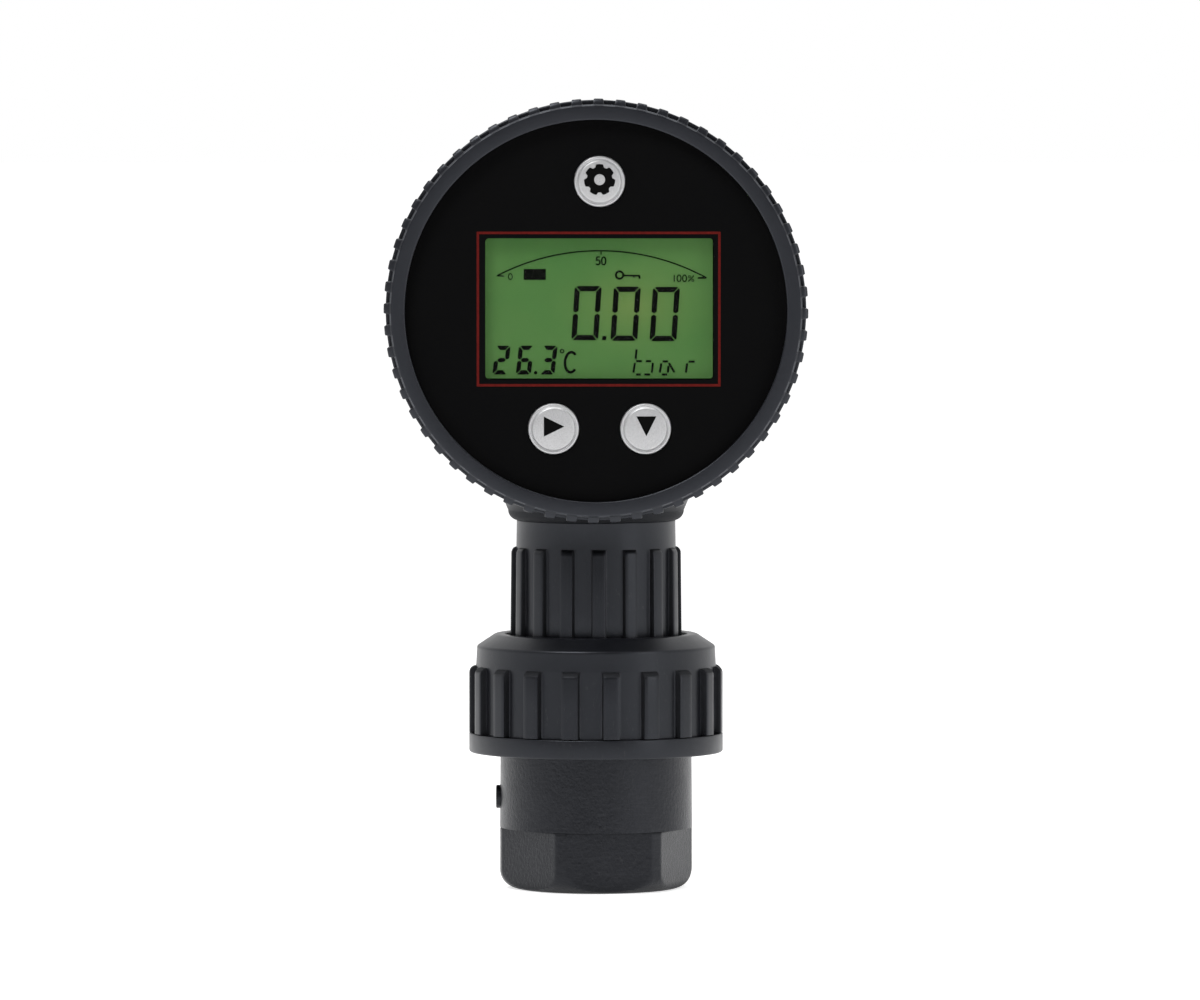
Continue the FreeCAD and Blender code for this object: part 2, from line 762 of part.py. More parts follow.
def button(name, at):
    """Button cap with its collar behind the panel, the switch's plunger, and the tact switch."""
    cap = in_head(new_body("button_" + name), *at)
    front = "panel_front + button_stand"
    turn(cap, f"button_{name}_turning", [
        ("0", "plunger_front"),
        ("button_foot_radius", "plunger_front"),
        ("button_foot_radius", "panel_back - button_collar_thickness"),
        ("button_radius + button_collar", "panel_back - button_collar_thickness"),
        ("button_radius + button_collar", "panel_back"),
        ("button_radius", "panel_back"),
        ("button_radius", f"{front} - button_bevel_drop"),
        ("button_radius - button_bevel", front),
        ("0", front),
    ])
    plunger = in_head(new_body("plunger_" + name), *at)
    extrude(plunger, f"plunger_{name}_pin", [circle("plunger_radius")],
            "board_front + switch_floor + press_room",
            "plunger_front - board_front - switch_floor - press_room")

    case = doc.addObject("Part::Box", f"switch_{name}_case")
    case.setExpression("Length", formula("switch_side"))
    case.setExpression("Width", formula("switch_height"))
    case.setExpression("Height", formula("switch_side"))
    place(case, f"{at[0]} - switch_side / 2", "0 - switch_front",
          f"head_height + {at[1]} - switch_side / 2")
    well = doc.addObject("Part::Cylinder", f"switch_{name}_well")
    well.setExpression("Radius", formula("plunger_radius + thread_clearance"))
    well.setExpression("Height", formula("switch_height - switch_floor + overrun"))
    place(well, at[0], "0 - board_front - switch_floor", f"head_height + {at[1]}", HEAD_FRAME)
    switch = doc.addObject("Part::Cut", f"switch_{name}_cut")
    switch.Label = "switch_" + name
    switch.Base = case
    switch.Tool = well
    parts.append(switch)


def display():
    """Clear window, display glass, backlight and the frame that holds them to the board."""
    middle = ("face_shift", "window_lift")
    window = in_head(new_body("display_window"))
    margin = "2 * rebate_margin - 2 * window_clearance"
    flange = rounded_box(middle, f"window_width + {margin}", f"window_height + {margin}", "window_rounding")
    extrude(window, "window_flange", [flange], "panel_back", "rebate_depth")
    face = rounded_box(middle, "window_width - 2 * window_clearance",
                       "window_height - 2 * window_clearance", "window_rounding")
    extrude(window, "window_face", [face],
            "panel_back + rebate_depth / 2", "panel_thickness - rebate_depth / 2 - window_recess")

    plate = box(middle, "glass_width", "glass_height")
    glass = in_head(new_body("lcd_glass"))
    extrude(glass, "glass_plate", [plate], "glass_back", "glass_thickness")
    light = in_head(new_body("lcd_backlight"))
    extrude(light, "light_plate", [plate], "board_front", "backlight_thickness")
    frame = in_head(new_body("lcd_frame"))
    walls = [box(middle, f"glass_width + {margin}", f"glass_height + {margin}")
             for margin in ("2 * window_clearance + 2 * lcd_frame_wall", "2 * window_clearance")]
    extrude(frame, "frame_walls", walls, "board_front", "backlight_thickness + glass_thickness / 2")


def board(label, radius, front):
    """Round circuit board with a hole for each screw."""
    body = in_head(new_body(label))
    foot = f"{front} - board_thickness"
    extrude(body, label + "_disc", [circle(radius)], foot, "board_thickness")
    opening = circle("screw_radius + screw_hole_gap", "pillar_place", "pillar_place")
    hole = extrude(body, label + "_hole", [opening],
                   f"{foot} - overrun", "board_thickness + 2 * overrun", cut=True)
    repeat(body, hole, str(SCREW_PLACES), -1)
    return body


def main_board():
    """The board on the rear posts, cut off flat above the stem."""
    body = board("main_board", "main_board_radius", "main_front")
    below = box(("0", "(main_board_foot - main_board_radius - overrun) / 2"),
                "2 * main_board_radius + 2 * overrun", "main_board_foot + main_board_radius + overrun")
    extrude(body, "board_flat", [below], "main_back - overrun", "board_thickness + 2 * overrun", cut=True)


def ring_of(label, piece):
    """Four copies of a shape, turned about the head's axis, as one node."""
    node = doc.addObject("Part::Feature", label + "_set")
    node.Label = label
    copies = []
    for k in range(SCREW_PLACES):
        copy = piece.copy()
        copy.rotate(Vector(0, 0, 0), Vector(0, 0, 1), 360 * k / SCREW_PLACES)
        copies.append(copy)
    node.Shape = Part.makeCompound(copies)
    place(node, z="head_height", rotation=HEAD_FRAME)
    parts.append(node)


def pillars_and_screws():
    """Hexagon pillars with their studs between the boards, and the screws in front of them."""
    spot = Vector(number("pillar_place"), number("pillar_place"), 0)
    stud_radius = number("screw_radius")
    corner = number("pillar_flats") / sqrt(3)
    front, back = number("board_back"), number("main_front")
    corners = [Vector(corner, 0, 0)]
    for k in range(1, 7):
        corners.append(Rotation(Vector(0, 0, 1), 60 * k).multVec(corners[0]))
    prism = Part.Face(Part.makePolygon(corners)).extrude(Vector(0, 0, front - back))
    prism.translate(spot + Vector(0, 0, back))
    screw_length = number("screw_length")
    stud_length = number("board_thickness") + screw_length
    stud = Part.makeCylinder(stud_radius, stud_length, spot + Vector(0, 0, back - stud_length))
    shank_foot = spot + Vector(0, 0, front - screw_length)
    tapped = Part.makeCylinder(stud_radius, screw_length, shank_foot)
    ring_of("board_pillars", prism.fuse(stud).cut(tapped).removeSplitter())

    seat = spot + Vector(0, 0, number("board_front"))
    shank = Part.makeCylinder(stud_radius, seat.z - shank_foot.z, shank_foot)
    head = Part.makeCylinder(number("screw_head_radius"), number("screw_head_height"), seat)
    ring_of("board_screws", head.fuse(shank).removeSplitter())


def connectors():
    """Link between the boards, terminal block with its wire entries, and the sensor's header."""
    link = in_head(new_body("board_link"))
    extrude(link, "link_block", [box(("0", "link_lift"), "link_width", "link_depth")],
            "main_front", "board_back - main_front")

    block = in_head(new_body("terminal_block"))
    extrude(block, "block_case", [box(("0", "terminal_lift"), "terminal_width", "terminal_depth")],
            "main_back - terminal_height", "terminal_height")
    entry = [circle("terminal_pitch / 3", f"{k} * terminal_pitch", "main_back - terminal_height / 2")
             for k in (-1, 0, 1)]
    extrude(block, "wire_entries", entry, "overrun - terminal_lift", "terminal_depth + overrun",
            cut=True, plane="XZ_Plane", backward=True)

    header = in_head(new_body("sensor_header"))
    extrude(header, "header_case", [box(("0", "0 - header_drop"), "header_width", "header_height")],
            "main_front", "main_board_depth + header_reach")


def cable_gland():
    """Gland body through the rear wall with gasket and locknut, rubber seal and domed nut."""
    body = in_gland(new_body("gland_body"))
    inner_end = "0 - gland_inner_length"
    seat_bore = "gland_seal_radius + gland_seal_clearance"
    extrude(body, "gland_hexagon", [hexagon("gland_flats")], "gland_hex_foot", "gland_hex_height")
    turn(body, "gland_threads", [
        ("0", inner_end),
        ("gland_thread_radius", inner_end),
        ("gland_thread_radius", "gland_body_top"),
        ("0", "gland_body_top"),
    ])
    turn(body, "gland_bore", [
        ("0", f"{inner_end} - overrun"),
        ("gland_bore_radius", f"{inner_end} - overrun"),
        ("gland_bore_radius", "gland_seat"),
        (seat_bore, "gland_seat"),
        (seat_bore, "gland_body_top + overrun"),
        ("0", "gland_body_top + overrun"),
    ], cut=True)
    in_gland(ring("gland_gasket", "gland_thread_radius + thread_clearance",
                  "gland_thread_radius + gland_gasket_width", "0", "gland_gasket_thickness"))
    locknut = in_gland(new_body("gland_locknut"))
    extrude(locknut, "gland_locknut_hexagon",
            [hexagon("gland_flats"), circle("gland_thread_radius + thread_clearance")],
            "0 - housing_wall - gland_locknut_height", "gland_locknut_height")
    in_gland(ring("gland_seal", "gland_seal_bore", "gland_seal_radius", "gland_seat", "gland_seal_top"))

    nut = in_gland(new_body("gland_nut"))
    extrude(nut, "gland_nut_hexagon", [hexagon("gland_flats")], "gland_nut_foot", "gland_nut_hex")
    dome_base = "gland_flats / 2"
    dome_round = "((gland_flats / 2 - gland_dome_radius) ^ 2 + gland_dome_height ^ 2)" \
                 " / (2 * (gland_flats / 2 - gland_dome_radius))"
    turn(nut, "gland_dome", [
        ("0", "gland_dome_foot"),
        (dome_base, "gland_dome_foot", dome_round, 1),
        ("gland_dome_radius", "gland_nut_top"),
        ("0", "gland_nut_top"),
    ])
    thread = "gland_thread_radius + thread_clearance"
    throat = "gland_seal_radius + gland_seal_clearance"
    turn(nut, "gland_nut_bore", [
        ("0", "gland_nut_foot - overrun"),
        (thread, "gland_nut_foot - overrun"),
        (thread, "gland_body_top + gland_nut_gap"),
        (throat, "gland_body_top + gland_nut_gap"),
        (throat, "gland_seal_top"),
        ("gland_mouth_radius", "gland_seal_top"),
        ("gland_mouth_radius", "gland_nut_top + overrun"),
        ("0", "gland_nut_top + overrun"),
    ], cut=True)


def write_parts():
    """Check every object and every piece, then write one STEP file for each piece."""
    doc.recompute()
    for item in doc.Objects:
        if {"Invalid", "Error"} & set(item.State):
            raise RuntimeError(f"{item.Label}: {item.State}")
    for item in parts:
        if item.Shape.isNull() or not item.Shape.isValid() or not item.Shape.Solids:
            raise RuntimeError(f"{item.Label}: its shape is not a valid solid")
    os.makedirs("parts", exist_ok=True)
    for item in parts:
        item.Shape.exportStep(f"parts/{item.Label}.step")


union_body()
union_nut()
union_end()
ring("union_thrust_ring", "shank_rib_radius + thrust_ring_gap", "collar_radius", "collar_top", "nut_ledge")
sensor_and_stem()
housing_shell()
bezel_ring()
in_head(ring("bezel_slip_ring", "opening_radius + thread_clearance", "panel_radius",
             "panel_front", "lip_back"))
in_head(ring("face_gasket", "cavity_radius", "panel_radius", "rim_front", "panel_back"))
face_panel()
for button_name, button_place in BUTTONS.items():
    button(button_name, button_place)
display()
board("display_board", "display_board_radius", "board_front")
main_board()
pillars_and_screws()
connectors()
cable_gland()
write_parts()
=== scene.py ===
import json
from math import atan2, cos, hypot, pi, radians, sin, tan

import bmesh
import bpy
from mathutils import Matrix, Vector

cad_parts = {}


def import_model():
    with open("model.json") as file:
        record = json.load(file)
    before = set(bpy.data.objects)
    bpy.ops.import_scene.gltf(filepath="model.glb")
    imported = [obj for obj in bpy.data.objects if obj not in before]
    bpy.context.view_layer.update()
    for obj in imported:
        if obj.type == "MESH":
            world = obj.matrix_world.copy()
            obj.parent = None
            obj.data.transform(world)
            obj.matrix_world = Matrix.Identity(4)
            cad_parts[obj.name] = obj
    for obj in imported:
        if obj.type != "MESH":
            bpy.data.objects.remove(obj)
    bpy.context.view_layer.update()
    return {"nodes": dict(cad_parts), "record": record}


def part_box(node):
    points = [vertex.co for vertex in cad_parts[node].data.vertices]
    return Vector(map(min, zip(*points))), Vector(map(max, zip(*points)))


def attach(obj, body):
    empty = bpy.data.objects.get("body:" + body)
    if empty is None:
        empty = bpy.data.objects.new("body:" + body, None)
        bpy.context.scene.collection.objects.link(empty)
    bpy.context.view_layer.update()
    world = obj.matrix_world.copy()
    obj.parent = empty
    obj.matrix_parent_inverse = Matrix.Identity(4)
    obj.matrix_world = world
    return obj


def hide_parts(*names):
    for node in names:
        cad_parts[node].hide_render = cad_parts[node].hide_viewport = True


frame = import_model()
MM = 0.001
CLOSE = 1e-7


# ---------------- places read from the frame

def spot(node):
    """Lowest corner, highest corner and middle of a CAD node."""
    low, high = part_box(node)
    return low, high, (low + high) / 2


bezel_low, bezel_high, bezel_mid = spot("bezel_ring")
window_low, window_high, window_mid = spot("display_window")
panel_low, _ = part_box("face_panel")
glass_low, glass_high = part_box("lcd_glass")
nut_low, nut_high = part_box("union_nut")
end_low, end_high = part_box("union_end")
base_low, base_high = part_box("union_body")
HEAD_Z = bezel_mid.z
LCD_RIGHT = window_mid.x
LCD_UP = window_mid.z - HEAD_Z


# ---------------- materials

def srgb(red, green, blue):
    """A colour given in 0-255 screen values, as linear light."""
    def linear(value):
        value /= 255
        return value / 12.92 if value <= 0.04045 else ((value + 0.055) / 1.055) ** 2.4
    return linear(red), linear(green), linear(blue), 1.0


def darker(color, share):
    """A colour with its light cut to a share."""
    return tuple(value * share for value in color[:3]) + (1,)


def set_inputs(node, **values):
    """Set values on a node's own inputs; an underscore stands for a space in a name."""
    for name, value in values.items():
        node.inputs[name.replace("_", " ")].default_value = value


class Shader:
    """A node material with one Principled shader, and short ways to add to it."""

    def __init__(self, name, color, roughness=0.5, metallic=0.0, specular=0.5):
        self.material = bpy.data.materials.new(name)
        self.material.use_nodes = True
        self.tree = self.material.node_tree
        self.bsdf = self.tree.nodes["Principled BSDF"]
        set_inputs(self.bsdf, Base_Color=color, Roughness=roughness, Metallic=metallic,
                   Specular_IOR_Level=specular)
        self.normal = None
        self.coordinates = self.tree.nodes.new("ShaderNodeTexCoord").outputs["Object"]

    def node(self, kind, **settings):
        """Add a node; a setting is one of its properties or, failing that, one of its inputs."""
        made = self.tree.nodes.new(kind)
        for key, value in settings.items():
            if hasattr(made, key):
                setattr(made, key, value)
            else:
                set_inputs(made, **{key: value})
        return made

    def link(self, source, target):
        self.tree.links.new(source, target)

    def stretched(self, scale):
        """Object coordinates, scaled along each axis."""
        mapping = self.node("ShaderNodeMapping", Scale=scale)
        self.link(self.coordinates, mapping.inputs["Vector"])
        return mapping.outputs["Vector"]

    def noise(self, scale, detail=4.0, rough=0.55, stretch=(1, 1, 1)):
        """Factor of a noise texture with scale features to the metre."""
        texture = self.node("ShaderNodeTexNoise", Scale=scale, Detail=detail, Roughness=rough)
        self.link(self.stretched(stretch), texture.inputs["Vector"])
        return texture.outputs["Fac"]

    def ramp(self, source, *stops):
        """A colour ramp; each stop is (position, colour)."""
        ramp = self.node("ShaderNodeValToRGB")
        elements = ramp.color_ramp.elements
        while len(elements) < len(stops):
            elements.new(0.5)
        for element, (position, color) in zip(elements, stops):
            element.position = position
            element.color = color if len(color) == 4 else (*color, 1)
        self.link(source, ramp.inputs["Fac"])
        return ramp.outputs["Color"]

    def grey_ramp(self, source, *stops):
        """A ramp of plain values; each stop is (position, value)."""
        return self.ramp(source, *((position, (value,) * 3) for position, value in stops))

    def mix(self, factor, one, other):
        """Mix two colours or colour sockets by a factor socket."""
        mixer = self.node("ShaderNodeMix", data_type="RGBA")
        self.link(factor, mixer.inputs["Factor"])
        inputs = {item.name: item for item in mixer.inputs if item.type == "RGBA"}
        for name, value in (("A", one), ("B", other)):
            if isinstance(value, bpy.types.NodeSocket):
                self.link(value, inputs[name])
            else:
                inputs[name].default_value = value
        return next(item for item in mixer.outputs if item.type == "RGBA")

    def color(self, socket):
        """Base colour from a socket."""
        self.link(socket, self.bsdf.inputs["Base Color"])

    def roughness(self, source, low, high, least=None):
        """Roughness from low to high by a source, and nowhere below the socket least."""
        spread = self.node("ShaderNodeMapRange", To_Min=low, To_Max=high)
        self.link(source, spread.inputs["Value"])
        result = spread.outputs["Result"]
        if least:
            higher = self.node("ShaderNodeMath", operation="MAXIMUM")
            self.link(result, higher.inputs[0])
            self.link(least, higher.inputs[1])
            result = higher.outputs[0]
        self.link(result, self.bsdf.inputs["Roughness"])

    def bump(self, source, height, strength=1.0):
        """Add relief of a height in metres on top of what is there."""
        bump = self.node("ShaderNodeBump", Strength=strength, Distance=height)
        self.link(source, bump.inputs["Height"])
        if self.normal:
            self.link(self.normal, bump.inputs["Normal"])
        self.normal = bump.outputs["Normal"]
        self.link(self.normal, self.bsdf.inputs["Normal"])


COOL_SHEEN = (0.86, 0.90, 1.0, 1)
# painted shade for crevices, tooth gaps and the boss under the head, and a painted highlight for
# front edges between the teeth
PAINTED_SHADE = srgb(4, 4, 5)
PAINTED_HIGHLIGHT = srgb(74, 76, 80)
STREAK = srgb(66, 66, 68)
FLECK = srgb(96, 96, 95)
CREVICE_ROUGHNESS = 0.75


def moulded_plastic(name, color, other, roughness, specular, grain=0.00001, orange_peel=0.0,
                    marks=0.0, streaks=0.0, painted_light_from_mesh=True, under=None):
    """Moulded plastic: cloudy flow marks between two colours, and fine grain.

    grain and orange_peel are bump heights in metres, marks and streaks the strengths of pale
    flecks and level streaks. With the switch for the mesh's painted light on, its value paints
    shade into gaps, dark and matt, and paints a highlight on edges where it is below 0. under
    holds two heights between which a painted shade darkens the plastic downwards instead.
    """
    shader = Shader(name, color, roughness, specular=specular)
    set_inputs(shader.bsdf, Specular_Tint=COOL_SHEEN)
    cloud = shader.noise(70, 5, 0.6, (1, 1, 0.55))
    tone = shader.mix(shader.grey_ramp(cloud, (0.35, 0.0), (0.7, 1.0)), color, other)
    if streaks:
        lines = shader.noise(420, 4, 0.75, (1, 1, 6))
        tone = shader.mix(shader.grey_ramp(lines, (0.48, 0.0), (0.75, streaks)), tone, STREAK)
    dark = matt = None
    # painted shade under the head, darker downwards
    if under:
        parts = shader.node("ShaderNodeSeparateXYZ")
        shader.link(shader.coordinates, parts.inputs[0])
        fade = shader.node("ShaderNodeMapRange", From_Min=under[0], From_Max=under[1])
        shader.link(parts.outputs["Z"], fade.inputs["Value"])
        dark = fade.outputs["Result"]
    elif painted_light_from_mesh:
        # painted shade from the value stored on the mesh, and a painted highlight where that value
        # is below 0
        painted_light_node = shader.node("ShaderNodeAttribute")
        painted_light_node.attribute_name = "painted_light"
        dark = painted_light_node.outputs["Fac"]
        highlight_share = shader.node("ShaderNodeMath", operation="MULTIPLY")
        highlight_share.inputs[1].default_value = -1
        shader.link(dark, highlight_share.inputs[0])
        tone = shader.mix(highlight_share.outputs[0], tone, PAINTED_HIGHLIGHT)
    if dark:
        tone = shader.mix(dark, tone, PAINTED_SHADE)
        matt = shader.grey_ramp(dark, (0.1, 0.0), (1.0, CREVICE_ROUGHNESS))
    if marks:
        flecks = shader.noise(1500, 3, 0.75, (1, 0.6, 0.35))
        patches = shader.noise(55, 2, 0.5)
        shown = shader.node("ShaderNodeMath", operation="MULTIPLY")
        shader.link(shader.grey_ramp(flecks, (0.60, 0.0), (0.74, marks)), shown.inputs[0])
        shader.link(shader.grey_ramp(patches, (0.42, 0.0), (0.62, 1.0)), shown.inputs[1])
        tone = shader.mix(shown.outputs[0], tone, FLECK)
    shader.color(tone)
    shader.roughness(shader.noise(240, 4, 0.6), roughness - 0.06, roughness + 0.08, matt)
    shader.bump(shader.noise(2600, 3, 0.6), grain)
    if orange_peel:
        shader.bump(shader.noise(1500, 4, 0.65, (1, 1, 0.8)), orange_peel)
    shader.bump(shader.noise(130, 2, 0.5), grain * 2.5, 0.7)
    return shader.material


def panel_black():
    """Front panel: nearly black, matt, with a very fine grain."""
    shader = Shader("panel_black", srgb(6, 6, 7), 0.5, specular=0.04)
    cloud = shader.noise(45, 4, 0.6)
    shader.color(shader.mix(cloud, srgb(4, 4, 5), srgb(8, 8, 8)))
    shader.roughness(shader.noise(300, 3), 0.56, 0.68)
    shader.bump(shader.noise(3500, 2), 0.000004)
    return shader.material


def window_mask():
    """Matt black mask printed round the display glass."""
    shader = Shader("window_mask", srgb(4, 4, 4), 0.7, specular=0.03)
    shader.color(shader.mix(shader.noise(400, 2), srgb(3, 3, 3), srgb(5, 5, 5)))
    shader.roughness(shader.noise(200, 2), 0.62, 0.75)
    return shader.material


def print_ink(name, color):
    """A thin layer of printed ink, a little uneven in tone."""
    shader = Shader(name, color, 0.6, specular=0.05)
    thin = shader.grey_ramp(shader.noise(900, 4, 0.7), (0.35, 0.0), (0.7, 1.0))
    shader.color(shader.mix(thin, color, darker(color, 0.72)))
    shader.roughness(shader.noise(500, 2), 0.55, 0.68)
    return shader.material


def lcd_green():
    """Backlit liquid-crystal ground: green, yellower round the backlight's bright spot."""
    shader = Shader("lcd_green", srgb(66, 104, 52), 0.55, specular=0.06)
    spot_x, spot_z = LCD_RIGHT + 7 * MM, HEAD_Z + LCD_UP + 0.5 * MM
    wide, tall = 21 * MM, 13 * MM
    mapping = shader.node("ShaderNodeMapping", Location=(-spot_x / wide, 0, -spot_z / tall),
                          Scale=(1 / wide, 0, 1 / tall))
    shader.link(shader.coordinates, mapping.inputs["Vector"])
    glow = shader.node("ShaderNodeTexGradient", gradient_type="QUADRATIC_SPHERE")
    shader.link(mapping.outputs["Vector"], glow.inputs["Vector"])
    cloud = shader.noise(60, 3, 0.5, (1, 1, 1.5))
    ground = shader.ramp(cloud, (0.3, srgb(64, 102, 53)), (0.7, srgb(71, 106, 57)))
    bright = shader.grey_ramp(glow.outputs["Fac"], (0.0, 0.0), (0.9, 1.0))
    ground = shader.mix(bright, ground, srgb(88, 113, 61))
    shader.color(ground)
    shader.link(ground, shader.bsdf.inputs["Emission Color"])
    set_inputs(shader.bsdf, Emission_Strength=0.5)
    shader.roughness(shader.noise(200, 2), 0.5, 0.6)
    return shader.material


def clear_window():
    """Clear plastic window: almost nothing but its gloss shows."""
    shader = Shader("clear_window", srgb(20, 24, 20), 0.08, specular=0.4)
    set_inputs(shader.bsdf, Alpha=0.035)
    shader.roughness(shader.noise(60, 2), 0.06, 0.10)
    return shader.material


def button_silver():
    """Silver-white painted cap: fine metallic flake under a soft gloss."""
    shader = Shader("button_silver", srgb(200, 200, 201), 0.34, metallic=0.5, specular=0.5)
    flake = shader.noise(9000, 2, 0.7)
    shader.color(shader.ramp(flake, (0.36, srgb(174, 174, 176)), (0.62, srgb(204, 204, 205))))
    shader.roughness(shader.noise(1200, 3), 0.28, 0.42)
    shader.bump(flake, 0.000003, 0.6)
    return shader.material


def metal(name, color, roughness, stretch=(1, 1, 30)):
    """Turned or drawn metal with fine lines."""
    shader = Shader(name, color, roughness, metallic=1.0)
    lines = shader.noise(900, 3, 0.6, stretch)
    shader.color(shader.mix(lines, color, darker(color, 0.8)))
    shader.roughness(lines, roughness - 0.06, roughness + 0.12)
    shader.bump(lines, 0.000004)
    return shader.material


def rubber():
    """Black rubber of the seals."""
    shader = Shader("black_rubber", srgb(30, 30, 31), 0.62, specular=0.3)
    shader.color(shader.mix(shader.noise(500, 4), srgb(27, 27, 28), srgb(36, 36, 37)))
    shader.roughness(shader.noise(800, 3), 0.55, 0.72)
    shader.bump(shader.noise(2500, 2), 0.00001)
    return shader.material


def speckled(name, color, other, roughness, scale=900):
    """Boards, ceramic and small mouldings: two close tones in a fine mottle."""
    shader = Shader(name, color, roughness, specular=0.4)
    mottle = shader.grey_ramp(shader.noise(scale, 4), (0.4, 0.0), (0.6, 1.0))
    shader.color(shader.mix(mottle, color, other))
    shader.roughness(shader.noise(scale / 3, 3), roughness - 0.05, roughness + 0.07)
    shader.bump(shader.noise(scale * 2, 2), 0.000006)
    return shader.material


# heights of the painted shade on the housing's boss under the head
POT_SHADE = (HEAD_Z - 36 * MM, HEAD_Z - 43 * MM)

PVC = moulded_plastic("union_pvc", srgb(13, 14, 17), srgb(19, 20, 24), 0.35,
                      specular=0.36, marks=0.15)
HEXAGON = moulded_plastic("hexagon_pvc", srgb(10, 10, 13), srgb(24, 24, 27), 0.31, specular=0.30,
                          grain=0.000012, orange_peel=0.00011, marks=0.15, streaks=0.22)
BEZEL = moulded_plastic("bezel_plastic", srgb(19, 20, 24), srgb(23, 24, 28), 0.34, specular=0.42)
HOUSING = moulded_plastic("housing_plastic", srgb(17, 18, 21), srgb(22, 23, 26), 0.42,
                          specular=0.32, grain=0.000014, under=POT_SHADE)
GLAND = moulded_plastic("gland_plastic", srgb(20, 21, 23), srgb(25, 26, 28), 0.36,
                        specular=0.44, painted_light_from_mesh=False)
PANEL = panel_black()
MASK = window_mask()
RED_INK = print_ink("frame_red", srgb(98, 25, 22))
BLACK_INK = print_ink("key_black", srgb(5, 5, 5))
SEGMENT = print_ink("lcd_segment", srgb(3, 5, 2))
FAINT = print_ink("lcd_fine_line", srgb(17, 27, 13))
LCD = lcd_green()
CLEAR = clear_window()
SILVER = button_silver()
RUBBER = rubber()
BRASS = metal("brass", srgb(190, 160, 95), 0.32)
STEEL = metal("frame_steel", srgb(170, 170, 172), 0.34, (1, 30, 1))
ZINC = metal("zinc_screw", srgb(185, 186, 190), 0.3)
BOARD = speckled("circuit_board", srgb(28, 84, 48), srgb(34, 96, 56), 0.42)
CONNECTOR = speckled("connector_body", srgb(214, 208, 190), srgb(206, 199, 180), 0.5)
TERMINAL = speckled("terminal_body", srgb(48, 120, 72), srgb(42, 110, 66), 0.5)
SWITCH = speckled("switch_body", srgb(34, 34, 35), srgb(42, 42, 43), 0.5)
CERAMIC = speckled("ceramic", srgb(228, 226, 218), srgb(236, 234, 228), 0.35, 500)
SLEEVE = speckled("lead_sleeve", srgb(96, 96, 98), srgb(84, 84, 86), 0.55)
BACKLIGHT = speckled("backlight_guide", srgb(120, 160, 80), srgb(110, 150, 74), 0.4)

SLOT_MATERIAL = {
    "pvc": PVC, "bezel_plastic": BEZEL, "housing_plastic": HOUSING, "gland_plastic": GLAND,
    "panel_black": PANEL, "window_clear": CLEAR, "lcd_glass": LCD, "backlight": BACKLIGHT,
    "frame_metal": STEEL, "button_silver": SILVER, "switch_plastic": SWITCH,
    "circuit_board": BOARD, "connector_plastic": CONNECTOR, "terminal_plastic": TERMINAL,
    "screw_steel": ZINC, "brass": BRASS, "ceramic": CERAMIC, "lead_sleeve": SLEEVE,
    "rubber": RUBBER, "slip_film": SWITCH,
}


# ---------------- mesh helpers

def finish_mesh(name, bm, material, crease=35, frame_map=None):
    """Turn a bmesh into an object with clean normals; faces that meet at more than crease degrees
    stay sharp, and frame_map moves each point into the part's frame."""
    if frame_map:
        for vert in bm.verts:
            vert.co = frame_map(vert.co)
    bmesh.ops.recalc_face_normals(bm, faces=bm.faces)
    mesh = bpy.data.meshes.new(name)
    bm.to_mesh(mesh)
    bm.free()
    mesh.polygons.foreach_set("use_smooth", [True] * len(mesh.polygons))
    mesh.set_sharp_from_angle(angle=radians(crease))
    mesh.materials.append(material)
    piece = bpy.data.objects.new(name, mesh)
    bpy.context.scene.collection.objects.link(piece)
    return piece


def dress(piece, body, slot, *replaced):
    """Let a piece ride on a body, in place of the CAD nodes it replaces."""
    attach(piece, body)
    if replaced:
        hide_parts(*replaced)


def head_map(co):
    """From the head's own frame (right, up, forward) to the part's frame."""
    return Vector((co.x, -co.z, HEAD_Z + co.y))


def head_map_at(right, up):
    """The head's map for a piece drawn round its own middle."""
    return lambda co: head_map(Vector((co.x + right, co.y + up, co.z)))


LCD_MAP = head_map_at(LCD_RIGHT, LCD_UP)
# the most that a rounding takes of the sides beside it
SIDE_SHARE = 0.45


def soften(points, steps=4):
    """Round the corners of a closed section. A point is (radius, along, relief, rounding), with
    the rounding in millimetres."""
    rounded = []
    count = len(points)
    for i, (r, along, relief, rounding) in enumerate(points):
        if rounding <= 0:
            rounded.append((r, along, relief))
            continue
        here = Vector((r, along))
        before = Vector(points[i - 1][:2]) - here
        after = Vector(points[(i + 1) % count][:2]) - here
        start = here + before.normalized() * min(rounding * MM, before.length * SIDE_SHARE)
        end = here + after.normalized() * min(rounding * MM, after.length * SIDE_SHARE)
        for k in range(steps + 1):
            t = k / steps
            p = start * (1 - t) ** 2 + here * 2 * t * (1 - t) + end * t ** 2
            rounded.append((p.x, p.y, relief))
    return rounded


def painted_flank_shade(share):
    """Painted shade across a rib, by its share of the full height: darkest halfway up."""
    return 5 * share * (1 - share)


def painted_gap_shade(share):
    """Painted shade across a tooth: darkest in the gap."""
    return 1.7 * (1 - share)


